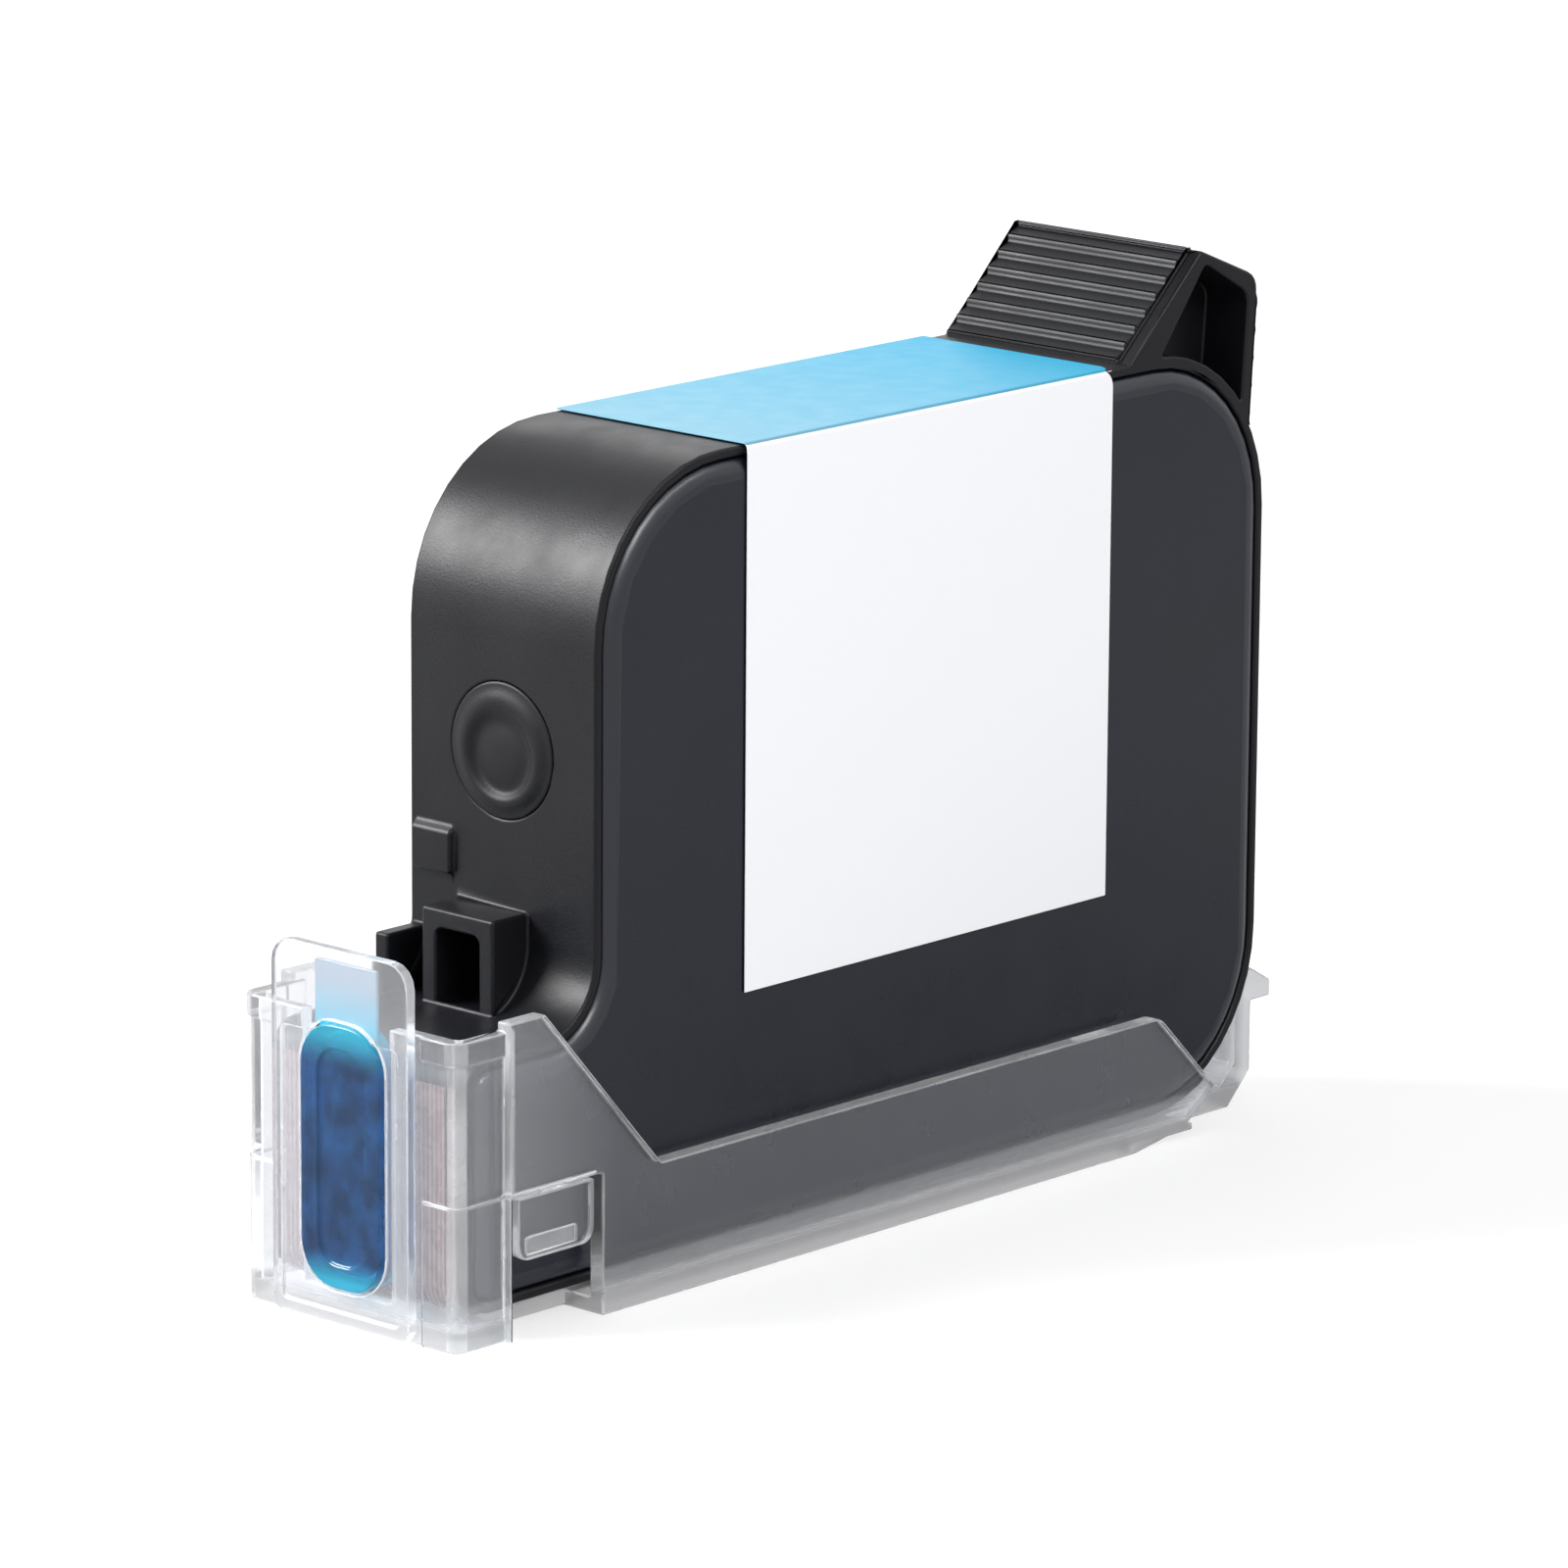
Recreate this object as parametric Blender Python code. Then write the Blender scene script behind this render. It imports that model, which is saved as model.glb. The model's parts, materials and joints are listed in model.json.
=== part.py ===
"""A half-inch inkjet print cartridge for date coding, standing in its clear storage clip.

Frame of the design: +X runs along the cartridge away from its snout, -Y is the labelled side and
+Z is up. X = 0 is the outer face of the end wall, Y = 0 the middle plane and Z = 0 the surface
that the clip stands on. One empty moves the whole assembly so that its origin lies under the
middle of its box.
"""

import math

import bmesh
import bpy
from mathutils import Vector

MM = 0.001

# Driving dimensions, in metres.
LENGTH = 94.0 * MM
HEIGHT = 75.0 * MM
FRAME_THICKNESS = 23.6 * MM
CORNER_RADIUS = 16.5 * MM
FRAME_WALL = 2.4 * MM
RIM_WIDTH = 1.0 * MM
SNOUT_REACH = 17.0 * MM
SNOUT_HEIGHT = 23.8 * MM
SNOUT_RADIUS = 3.0 * MM
SNOUT_FILLET = 6.5 * MM

# Clearances.
GAP = 0.3 * MM
THIN_GAP = 0.1 * MM
SEAL_GAP = 0.4 * MM

# Side covers, ink bag and its spring.
COVER_THICKNESS = 1.6 * MM
COVER_PROUD = 0.4 * MM
COVER_ROLL_WIDTH = 1.8 * MM
COVER_ROLL_DEPTH = 1.0 * MM
INNER_FRAME_WALL = 2.0 * MM
BAG_INSET = 2.6 * MM
FILM_THICKNESS = 0.3 * MM
PLATE_THICKNESS = 0.9 * MM
PLATE_MARGIN = 13.0 * MM
PLATE_RADIUS = 8.0 * MM
SPRING_LENGTH = 48.0 * MM
SPRING_WIDTH = 8.0 * MM
SPRING_STRIP = 0.5 * MM

# Ink path and print head.
PIPE_RISE = 11.5 * MM
PIPE_RADIUS = 2.7 * MM
PIPE_BORE = 1.7 * MM
PIPE_CLEARANCE = 0.9 * MM
FILTER_RADIUS = 4.0 * MM
FILTER_THICKNESS = 0.4 * MM
HEAD_LENGTH = 15.4 * MM
HEAD_WIDTH = 6.4 * MM
HEAD_RISE = 12.5 * MM
DIE_LENGTH = 14.0 * MM
DIE_WIDTH = 5.6 * MM
DIE_THICKNESS = 0.6 * MM
DIE_POCKET = 1.1 * MM
FLEX_THICKNESS = 0.25 * MM
FLEX_SIDE_INSET = 1.5 * MM
FLEX_MARGIN = 1.3 * MM
FLEX_END = 9.0 * MM
BEAD_RADIUS = 0.5 * MM
BEAD_LENGTH = 6.0 * MM
BEAD_RISE = 0.16 * MM

# Fill port in the end wall.
PORT_SHARE = 0.637
PORT_RADIUS = 4.5 * MM
PORT_FLANGE_RADIUS = 6.4 * MM
PORT_FLANGE_DEPTH = 0.9 * MM
PLUG_CROWN_RADIUS = 5.0 * MM
PLUG_CROWN_RISE = 0.8 * MM
PLUG_DIMPLE_RADIUS = 3.9 * MM
PLUG_DIMPLE_DEPTH = 0.6 * MM

# Mouldings on the end wall above the snout.
TURRET_DEPTH = 4.6 * MM
TURRET_LOW_Y = -3.3 * MM
TURRET_HIGH_Y = 5.8 * MM
TURRET_RISE = 9.3 * MM
TURRET_WALL = 1.8 * MM
EAR_DEPTH = 5.0 * MM
EAR_THICKNESS = 1.7 * MM
EAR_RISE = 5.9 * MM
WELL_DEPTH = 1.2 * MM
WELL_RADIUS = 0.8 * MM
LUG_LOW_Y = 6.1 * MM
LUG_HIGH_Y = 11.1 * MM
LUG_RISE = 2.1 * MM
LUG_HEIGHT = 4.5 * MM
LUG_DEPTH = 0.7 * MM
LUG_SLOPE_DROP = 0.6 * MM

# Handle.
HANDLE_LENGTH = 20.4 * MM
HANDLE_TIP_INSET = 10.0 * MM
HANDLE_TIP_RISE = 9.8 * MM
HANDLE_END_RISE = 6.3 * MM
HANDLE_END_INSET = 1.4 * MM
HANDLE_ROOT_INSET = 2.4 * MM
HANDLE_ROOT_DROP = 8.5 * MM
HANDLE_WALL = 1.4 * MM
HANDLE_POCKET = 5.3 * MM
HANDLE_TIP_RADIUS = 0.6 * MM
HANDLE_END_RADIUS = 2.0 * MM
RIB_HEIGHT = 0.6 * MM
RIB_NOTCH_SHARE = 0.24
FRONT_RIBS = 7
BACK_RIBS = 5
RIB_MARGIN = 1.5 * MM

# Label.
LABEL_START = 19.3 * MM
LABEL_TO_HANDLE = 3.2 * MM
LABEL_RISE = 23.6 * MM
LABEL_THICKNESS = 0.15 * MM
LABEL_RADIUS = 1.8 * MM

# Clear clip.
CLIP_WALL = 1.7 * MM
CLIP_SIDE_GAP = 0.5 * MM
CLIP_FLOOR = 1.5 * MM
CLIP_REST = 0.7 * MM
POCKET_WALL = 1.3 * MM
POCKET_SIDE_WALL = 1.0 * MM
POCKET_GAP = 1.3 * MM
POCKET_RISE = 2.6 * MM
POCKET_RADIUS = 1.2 * MM
BAND_START = 9.2 * MM
BAND_PROUD = 0.35 * MM
BAND_HEIGHT = 2.2 * MM
STEP_PROUD = 0.15 * MM
SHOULDER_REACH = 9.0 * MM
SHOULDER_RISE = 0.9 * MM
FLANK_INSET = 3.4 * MM
RAMP_FOOT = 6.15 * MM
SIDE_HEIGHT = 13.0 * MM
SIDE_RADIUS = 2.2 * MM
TAIL_LENGTH = 20.7 * MM
FLANK_END_INSET = 8.8 * MM
FLANK_END_Z = 4.6 * MM
FLANK_TOP_INSET = 17.2 * MM
TAIL_WIDTH = 20.0 * MM
HOOK_WALL = 1.5 * MM
HOOK_TOP = 13.7 * MM
HOOK_CHAMFER = 3.3 * MM
LEDGE_REACH = 2.9 * MM
LEDGE_DEPTH = 3.4 * MM
GUSSET_THICKNESS = 1.4 * MM
GUSSET_GAP = 0.7 * MM
REST_RIB_START = 20.0 * MM
REST_RIB_END_INSET = 26.0 * MM
REST_RIB_Y = 6.5 * MM
REST_RIB_WIDTH = 1.0 * MM

# Latch windows and tongues.
WINDOW_END = -1.6 * MM
WINDOW_TOP = 13.5 * MM
WINDOW_FLOOR_INSET = 3.3 * MM
TONGUE_MARGIN = 0.9 * MM
TONGUE_BASE = 7.2 * MM
TONGUE_THICKNESS = 1.2 * MM
TONGUE_INSET = 0.2 * MM
TONGUE_RADIUS = 1.5 * MM
BUMP_HEIGHT = 1.6 * MM
BUMP_MARGIN = 1.8 * MM

# Seal and the pull-tab plate that carries it.
CARRIER_THICKNESS = 1.1 * MM
CARRIER_WIDTH = 17.4 * MM
CARRIER_BASE = 0.2 * MM
CARRIER_AXIS_RISE = 1.0 * MM
CARRIER_RISE = 6.5 * MM
CARRIER_TOP_RADIUS = 2.4 * MM
CARRIER_BASE_RADIUS = 1.2 * MM
TRAY_DEPTH = 0.35 * MM
TRAY_INSET = 1.3 * MM
TRAY_DROP = 1.6 * MM
SEAL_WIDTH = 10.2 * MM
SEAL_LENGTH = 24.7 * MM
SEAL_RISE = 0.95 * MM
SEAL_FACE = 0.75 * MM
SEAL_LIP = 1.0 * MM
SEAL_SLOT_GAP = 0.4 * MM
SEAL_PANEL_INSET = 2.2 * MM
SEAL_PANEL_DEPTH = 0.3 * MM
SEAL_BOSS_DROP = 0.1 * MM
SEAL_TONGUE_WIDTH = 8.0 * MM
SEAL_TONGUE_DROP = 1.4 * MM
SEAL_TONGUE_THICKNESS = 0.4 * MM

# Facets of curved stretches.
CORNER_STEPS = 10
SMALL_STEPS = 4
ROLL_STEPS = 6
ROUND_SIDES = 40

# Places worked out from the dimensions above.
HALF = FRAME_THICKNESS / 2
BASE = CLIP_FLOOR + CLIP_REST + GAP
TOP = BASE + HEIGHT
SNOUT_TOP = BASE + SNOUT_HEIGHT
HEAD_HEIGHT = BASE + HEAD_RISE
PIPE_HEIGHT = BASE + PIPE_RISE
PORT_HEIGHT = BASE + HEIGHT * PORT_SHARE
TURRET_TOP = SNOUT_TOP + TURRET_RISE
EAR_TOP = SNOUT_TOP + EAR_RISE
LUG_BASE = TURRET_TOP + LUG_RISE
LUG_TOP = LUG_BASE + LUG_HEIGHT
HANDLE_FOOT = LENGTH - HANDLE_LENGTH
HANDLE_TIP_X = LENGTH - HANDLE_TIP_INSET
COVER_FACE = HALF + COVER_PROUD
COVER_BACK = COVER_FACE - COVER_THICKNESS
LEDGE_Y = COVER_BACK - GAP
PLATE_FACE = HALF - BAG_INSET
FILM_FACE = PLATE_FACE + GAP
BAG_EDGE = FRAME_WALL + GAP
BAG_INSIDE = BAG_EDGE + INNER_FRAME_WALL
FLEX_FACE = -SNOUT_REACH - THIN_GAP - FLEX_THICKNESS
SEAL_LIP_X = FLEX_FACE - THIN_GAP - SEAL_GAP
POCKET_INNER_X = -SNOUT_REACH - POCKET_GAP
POCKET_OUTER_X = POCKET_INNER_X - POCKET_WALL
POCKET_TOP = SNOUT_TOP + POCKET_RISE
SHOULDER_TOP = POCKET_TOP + SHOULDER_RISE
FLANK_START = FLANK_INSET - SNOUT_REACH
WIDE_FLOOR_END = LENGTH - TAIL_LENGTH
FLANK_END = LENGTH - FLANK_END_INSET
CARRIER_BACK = POCKET_OUTER_X - GAP
CARRIER_FRONT = CARRIER_BACK - CARRIER_THICKNESS
CARRIER_TOP = POCKET_TOP + CARRIER_RISE
SEAL_BASE = HEAD_HEIGHT + SEAL_RISE - SEAL_LENGTH / 2
SEAL_TOP = SEAL_BASE + SEAL_LENGTH
CLIP_INNER_Y = COVER_FACE + CLIP_SIDE_GAP
CLIP_OUTER_Y = CLIP_INNER_Y + CLIP_WALL
POCKET_INNER_Y = COVER_FACE + GAP
POCKET_OUTER_Y = POCKET_INNER_Y + POCKET_SIDE_WALL
HOOK_INNER_X = LENGTH + GAP
HOOK_OUTER_X = HOOK_INNER_X + HOOK_WALL
LEDGE_X = HOOK_OUTER_X + LEDGE_REACH
CENTRE_SHIFT = -(CARRIER_FRONT + LEDGE_X) / 2
SWING_AXIS = (HOOK_INNER_X, 0.0, HOOK_TOP + GAP)
CLIP_ORIGIN = (0.0, 0.0, 0.0)
PIVOTS = {"clip": Vector(CLIP_ORIGIN), "cartridge": Vector(SWING_AXIS)}
CARRIER_AXIS = (CARRIER_BACK - CARRIER_THICKNESS / 2, 0.0, CARRIER_BASE + CARRIER_AXIS_RISE)


def clear_scene():
    for found in list(bpy.data.objects):
        bpy.data.objects.remove(found, do_unlink=True)


def material(name, colour, roughness, metallic=0.0, alpha=1.0):
    made = bpy.data.materials.new(name)
    made.use_nodes = True
    shader = made.node_tree.nodes["Principled BSDF"]
    shader.inputs["Base Color"].default_value = (*colour, 1.0)
    shader.inputs["Roughness"].default_value = roughness
    shader.inputs["Metallic"].default_value = metallic
    shader.inputs["Alpha"].default_value = alpha
    made.diffuse_color = (*colour, alpha)
    return made


def rounded(corners, steps=SMALL_STEPS):
    """The points of an outline given as (u, v, radius) corners, with an arc at each round corner."""
    points = []
    for index, (u, v, radius) in enumerate(corners):
        here = Vector((u, v))
        to_last = (Vector(corners[index - 1][:2]) - here).normalized()
        to_next = (Vector(corners[(index + 1) % len(corners)][:2]) - here).normalized()
        if radius <= 0:
            points.append((here.x, here.y))
            continue
        half_angle = to_last.angle(to_next) / 2
        centre = here + (to_last + to_next).normalized() * (radius / math.sin(half_angle))
        start = here + to_last * (radius / math.tan(half_angle)) - centre
        end = here + to_next * (radius / math.tan(half_angle)) - centre
        first = math.atan2(start.y, start.x)
        turn = math.atan2(end.y, end.x) - first
        turn = (turn + math.pi) % (2 * math.pi) - math.pi
        for step in range(steps + 1):
            angle = first + turn * step / steps
            points.append((centre.x + radius * math.cos(angle), centre.y + radius * math.sin(angle)))
    return points


def place(plane, u, v, w):
    """A point from its outline coordinates and its height w across the outline's plane."""
    if plane == "XZ":
        return (u, w, v)
    if plane == "YZ":
        return (w, u, v)
    return (u, v, w)


def loft(layers, plane="XZ"):
    """A closed solid through equal outlines, each given with its height across the plane."""
    shape = bmesh.new()
    rings = []
    for outline, w in layers:
        rings.append([shape.verts.new(place(plane, u, v, w)) for u, v in outline])
    shape.faces.new(rings[0])
    shape.faces.new(reversed(rings[-1]))
    for lower, upper in zip(rings, rings[1:]):
        for index in range(len(lower)):
            after = (index + 1) % len(lower)
            shape.faces.new((lower[index], upper[index], upper[after], lower[after]))
    bmesh.ops.recalc_face_normals(shape, faces=shape.faces)
    return shape


def prism(outline, low, high, plane="XZ"):
    return loft([(outline, low), (outline, high)], plane)


def box(x, y, z):
    corners = [(x[0], z[0]), (x[1], z[0]), (x[1], z[1]), (x[0], z[1])]
    return prism(corners, y[0], y[1])


def turned(profile, height):
    """A round solid along X at a height, through (radius, x) rings."""
    turns = [2 * math.pi * index / ROUND_SIDES for index in range(ROUND_SIDES)]
    layers = []
    for radius, x in profile:
        ring = [(radius * math.cos(turn), height + radius * math.sin(turn)) for turn in turns]
        layers.append((ring, x))
    return loft(layers, "YZ")


def disc(radius, low, high, height):
    return turned([(radius, low), (radius, high)], height)


def pivot(name, parent, origin):
    """An empty that pieces are placed under and turn about."""
    made = bpy.data.objects.new(name, None)
    bpy.context.scene.collection.objects.link(made)
    made.parent = parent
    made.location = origin
    return made


def solid(name, shape, finish, origin=SWING_AXIS, parent="cartridge"):
    """A named piece with its own origin, placed under an empty of the assembly."""
    bmesh.ops.translate(shape, verts=shape.verts, vec=-Vector(origin))
    mesh = bpy.data.meshes.new(name)
    shape.to_mesh(mesh)
    shape.free()
    made = bpy.data.objects.new(name, mesh)
    bpy.context.scene.collection.objects.link(made)
    made.parent = bpy.data.objects[parent]
    made.location = Vector(origin) - PIVOTS[parent]
    mesh.shade_smooth()
    mesh.set_sharp_from_angle(angle=math.radians(35))
    if finish:
        mesh.materials.append(finish)
    return made


def helper(name, shape):
    made = solid(name, shape, None)
    made.hide_render = True
    made.display_type = "WIRE"
    return made


def boolean(target, other, operation):
    modifier = target.modifiers.new(other.name, "BOOLEAN")
    modifier.operation = operation
    modifier.solver = "EXACT"
    modifier.object = other


def cut(target, name, shape):
    boolean(target, helper(f"{target.name}_{name}", shape), "DIFFERENCE")


def add(target, name, shape):
    boolean(target, helper(f"{target.name}_{name}", shape), "UNION")


def mirrored(span, side):
    """A span of Y on one side: side is -1 towards the label and 1 away from it."""
    return tuple(sorted((side * span[0], side * span[1])))


# ---------------------------------------------------------------- outlines


def body_outline(inset):
    """The cartridge's side view with its snout, drawn in by inset."""
    low, high = BASE + inset, TOP - inset
    nose, snout_top = -SNOUT_REACH + inset, SNOUT_TOP - inset
    corner, nose_corner = CORNER_RADIUS - inset, SNOUT_RADIUS - min(inset, SNOUT_RADIUS / 2)
    return rounded(
        [
            (nose, low, nose_corner),
            (LENGTH - inset, low, corner),
            (LENGTH - inset, high, corner),
            (inset, high, corner),
            (inset, snout_top, SNOUT_FILLET + inset),
            (nose, snout_top, nose_corner),
        ],
        CORNER_STEPS,
    )


def tank_outline(inset):
    """The side view of the tank alone, drawn in by inset."""
    corner = CORNER_RADIUS - inset
    return rounded(
        [
            (inset, BASE + inset, corner),
            (LENGTH - inset, BASE + inset, corner),
            (LENGTH - inset, TOP - inset, corner),
            (inset, TOP - inset, corner),
        ],
        CORNER_STEPS,
    )


def wall_depth(inset, height):
    """How far from the end wall's face the tank's outline, drawn in by inset, lies at a height."""
    drop = BASE + CORNER_RADIUS - height
    if drop <= 0:
        return inset
    return CORNER_RADIUS - math.sqrt((CORNER_RADIUS - inset) ** 2 - drop**2)


def handle_corners(inset):
    """The handle's side view, drawn in by inset: foot, tip, end and root."""
    lean = Vector((HANDLE_TIP_X - HANDLE_FOOT, HANDLE_TIP_RISE)).normalized()
    foot_x = HANDLE_FOOT + inset * (1 + lean.x) / lean.y
    return [
        (foot_x, TOP - inset, 0.0),
        (HANDLE_TIP_X + inset / 2, TOP + HANDLE_TIP_RISE - inset, HANDLE_TIP_RADIUS),
        (LENGTH - HANDLE_END_INSET - inset, TOP + HANDLE_END_RISE - inset * 1.1, HANDLE_END_RADIUS),
        (LENGTH - HANDLE_ROOT_INSET - inset, TOP - HANDLE_ROOT_DROP, 0.0),
        (LENGTH - CORNER_RADIUS, TOP - HANDLE_ROOT_DROP, 0.0),
    ]


def round_rib():
    """One round rib as (share of the pitch, share of the height) points."""
    shares = [step / (SMALL_STEPS + 2) for step in range(1, SMALL_STEPS + 2)]
    return [(share, math.sin(math.pi * share)) for share in shares]


def saw_rib():
    """One rib of a saw: a long slope that falls away from a ridge, and a short notch before the next."""
    foot = 1 - RIB_NOTCH_SHARE
    return [(0.03, 0.92), (0.1, 0.86), (foot, 0.1), (foot + 0.04, 0.08), (0.97, 0.95)]


def ribbed_strip(start, end, count, rib_profile, depth):
    """A strip from start to end with ribs on its left and a straight back inside the wall."""
    start, end = Vector(start), Vector(end)
    along = (end - start).normalized()
    out = Vector((-along.y, along.x))
    pitch = (end - start).length / count
    points = []
    for rib in range(count):
        for share, rise in rib_profile:
            points.append(start + along * (rib + share) * pitch + out * rise * RIB_HEIGHT)
    points.append(end - out * depth)
    points.append(start - out * depth)
    return [(point.x, point.y) for point in points]


# ---------------------------------------------------------------- cartridge


def make_pen_frame(finish):
    """The moulded ring with its snout, handle and end-wall mouldings."""
    frame = solid("pen_frame", prism(body_outline(0.0), -HALF, HALF), finish)
    add(frame, "handle", prism(rounded(handle_corners(0.0)), -HALF, HALF))
    tip = (HANDLE_TIP_X, TOP + HANDLE_TIP_RISE)
    front_ribs = ribbed_strip((HANDLE_FOOT, TOP), tip, FRONT_RIBS, saw_rib(), HANDLE_WALL / 2)
    add(frame, "front_ribs", prism(front_ribs, RIB_MARGIN - HALF, HALF - GAP))
    high = (LENGTH - HANDLE_END_INSET, TOP + HANDLE_END_RISE - HANDLE_WALL)
    low = (LENGTH - HANDLE_ROOT_INSET, TOP - HANDLE_ROOT_DROP)
    back_ribs = ribbed_strip(high, low, BACK_RIBS, round_rib(), HANDLE_WALL / 2)
    add(frame, "back_ribs", prism(back_ribs, GAP - HALF, HALF - GAP))
    add_end_wall_mouldings(frame)
    for side in (-1, 1):
        hollow = mirrored((HALF - HANDLE_POCKET, HALF * 2), side)
        pocket = helper(f"handle_pocket_{side}", prism(rounded(handle_corners(HANDLE_WALL)), *hollow))
        rim = helper(f"handle_rim_{side}", prism(body_outline(-GAP), -HALF * 3, HALF * 3))
        boolean(pocket, rim, "DIFFERENCE")
        boolean(frame, pocket, "DIFFERENCE")
        rebate = prism(body_outline(RIM_WIDTH), *mirrored((LEDGE_Y, HALF * 2), side))
        cut(frame, f"rebate_{side}", rebate)
    cut(frame, "tank", prism(tank_outline(FRAME_WALL), -HALF * 2, HALF * 2))
    cut_ink_path(frame)


def add_end_wall_mouldings(frame):
    """The turret and the ear above the snout, their wells and the lug beside them."""
    root = FRAME_WALL / 2
    low = SNOUT_TOP - SNOUT_RADIUS
    turret_y = (TURRET_LOW_Y, TURRET_HIGH_Y)
    add(frame, "turret", box((-TURRET_DEPTH, root), turret_y, (low, TURRET_TOP)))
    ear_y = (HALF - GAP - EAR_THICKNESS, HALF - GAP)
    add(frame, "ear", box((-EAR_DEPTH, root), ear_y, (low, EAR_TOP)))
    well_low, well_high = TURRET_LOW_Y + TURRET_WALL, TURRET_HIGH_Y - TURRET_WALL
    turret_well = rounded(
        [
            (well_low, SNOUT_TOP + GAP, 0.0),
            (well_high, SNOUT_TOP + GAP, 0.0),
            (well_high, TURRET_TOP - TURRET_WALL, WELL_RADIUS),
            (well_low, TURRET_TOP - TURRET_WALL, WELL_RADIUS),
        ]
    )
    cut(frame, "turret_well", prism(turret_well, -2 * TURRET_DEPTH, WELL_DEPTH, "YZ"))
    side_well = (TURRET_HIGH_Y + GAP, HALF - EAR_THICKNESS - 2 * GAP)
    side_well_z = (SNOUT_TOP + GAP, EAR_TOP - GAP)
    cut(frame, "side_well", box((-TURRET_DEPTH, WELL_DEPTH), side_well, side_well_z))
    lug = [
        (-LUG_DEPTH, LUG_BASE),
        (root, LUG_BASE),
        (root, LUG_TOP),
        (0.0, LUG_TOP),
        (-LUG_DEPTH, LUG_TOP - LUG_SLOPE_DROP),
    ]
    add(frame, "lug", prism(lug, LUG_LOW_Y, LUG_HIGH_Y))


def cut_ink_path(frame):
    """The fill port, the bore for the standpipe and the pocket for the print head."""
    cut(frame, "port_flange", disc(PORT_FLANGE_RADIUS, -FRAME_WALL, PORT_FLANGE_DEPTH, PORT_HEIGHT))
    cut(frame, "port", disc(PORT_RADIUS, -FRAME_WALL, FRAME_WALL * 2, PORT_HEIGHT))
    bore_radius = PIPE_RADIUS + GAP
    bore_end = wall_depth(FRAME_WALL, PIPE_HEIGHT - bore_radius) + GAP
    cut(frame, "pipe_bore", disc(bore_radius, DIE_POCKET / 2 - SNOUT_REACH, bore_end, PIPE_HEIGHT))
    y, z = head_spans(DIE_WIDTH + 2 * SEAL_GAP, DIE_LENGTH + 2 * SEAL_GAP)
    cut(frame, "die_pocket", box((-SNOUT_REACH * 2, DIE_POCKET - SNOUT_REACH), y, z))


def head_spans(width, length):
    """The Y and Z spans of something centred on the print head."""
    return (-width / 2, width / 2), (HEAD_HEIGHT - length / 2, HEAD_HEIGHT + length / 2)


def make_covers(finish):
    for name, side in (("side_cover_front", -1), ("side_cover_rear", 1)):
        edge = RIM_WIDTH + THIN_GAP
        layers = [(body_outline(edge), side * COVER_BACK)]
        for step in range(ROLL_STEPS + 1):
            angle = math.pi / 2 * step / ROLL_STEPS
            inset = edge + COVER_ROLL_WIDTH * (1 - math.cos(angle))
            rise = COVER_FACE - COVER_ROLL_DEPTH * (1 - math.sin(angle))
            layers.append((body_outline(inset), side * rise))
        solid(name, loft(layers), finish)


def make_inner_frame(finish):
    """The ring that carries the films, with its standpipe."""
    half = PLATE_FACE
    ring = solid("inner_frame", prism(tank_outline(BAG_EDGE), -half, half), finish)
    cut(ring, "inside", prism(tank_outline(BAG_INSIDE), -half * 2, half * 2))
    pipe_end = 2 * DIE_POCKET + PIPE_CLEARANCE - SNOUT_REACH
    pipe_root = wall_depth(BAG_INSIDE, PIPE_HEIGHT - PIPE_RADIUS)
    add(ring, "pipe", disc(PIPE_RADIUS, pipe_end, pipe_root, PIPE_HEIGHT))
    cut(ring, "pipe_trim", prism(tank_outline(BAG_INSIDE), -PIPE_RADIUS * 2, PIPE_RADIUS * 2))
    cut(ring, "bore", disc(PIPE_BORE, -SNOUT_REACH, pipe_root + PIPE_RADIUS, PIPE_HEIGHT))


def make_ink_bag(film_finish, plate_finish, spring_finish):
    """The two films, the two pressure plates and the bow spring between them."""
    plate = rounded(
        [
            (PLATE_MARGIN, BASE + PLATE_MARGIN, PLATE_RADIUS),
            (LENGTH - PLATE_MARGIN, BASE + PLATE_MARGIN, PLATE_RADIUS),
            (LENGTH - PLATE_MARGIN, TOP - PLATE_MARGIN, PLATE_RADIUS),
            (PLATE_MARGIN, TOP - PLATE_MARGIN, PLATE_RADIUS),
        ]
    )
    for name, side in (("front", -1), ("rear", 1)):
        film = mirrored((FILM_FACE, FILM_FACE + FILM_THICKNESS), side)
        solid(f"ink_film_{name}", prism(tank_outline(BAG_EDGE), *film), film_finish)
        span = mirrored((PLATE_FACE - PLATE_THICKNESS, PLATE_FACE), side)
        centre = (LENGTH / 2, side * PLATE_FACE, BASE + HEIGHT / 2)
        solid(f"pressure_plate_{name}", prism(plate, *span), plate_finish, centre)
    reach = SPRING_LENGTH / 2
    bow = PLATE_FACE - PLATE_THICKNESS - SEAL_GAP
    middle = BASE + HEIGHT / 2
    strip = (middle - SPRING_WIDTH / 2, middle + SPRING_WIDTH / 2)
    spring = solid("bow_spring", prism(ellipse(reach, bow), *strip, "XY"), spring_finish)
    inner = ellipse(reach - 2 * SPRING_STRIP, bow - SPRING_STRIP)
    cut(spring, "inside", prism(inner, strip[0] - SPRING_WIDTH, strip[1] + SPRING_WIDTH, "XY"))


def ellipse(reach, bow):
    turns = [2 * math.pi * index / ROUND_SIDES for index in range(ROUND_SIDES)]
    return [(LENGTH / 2 + reach * math.cos(turn), bow * math.sin(turn)) for turn in turns]


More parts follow.
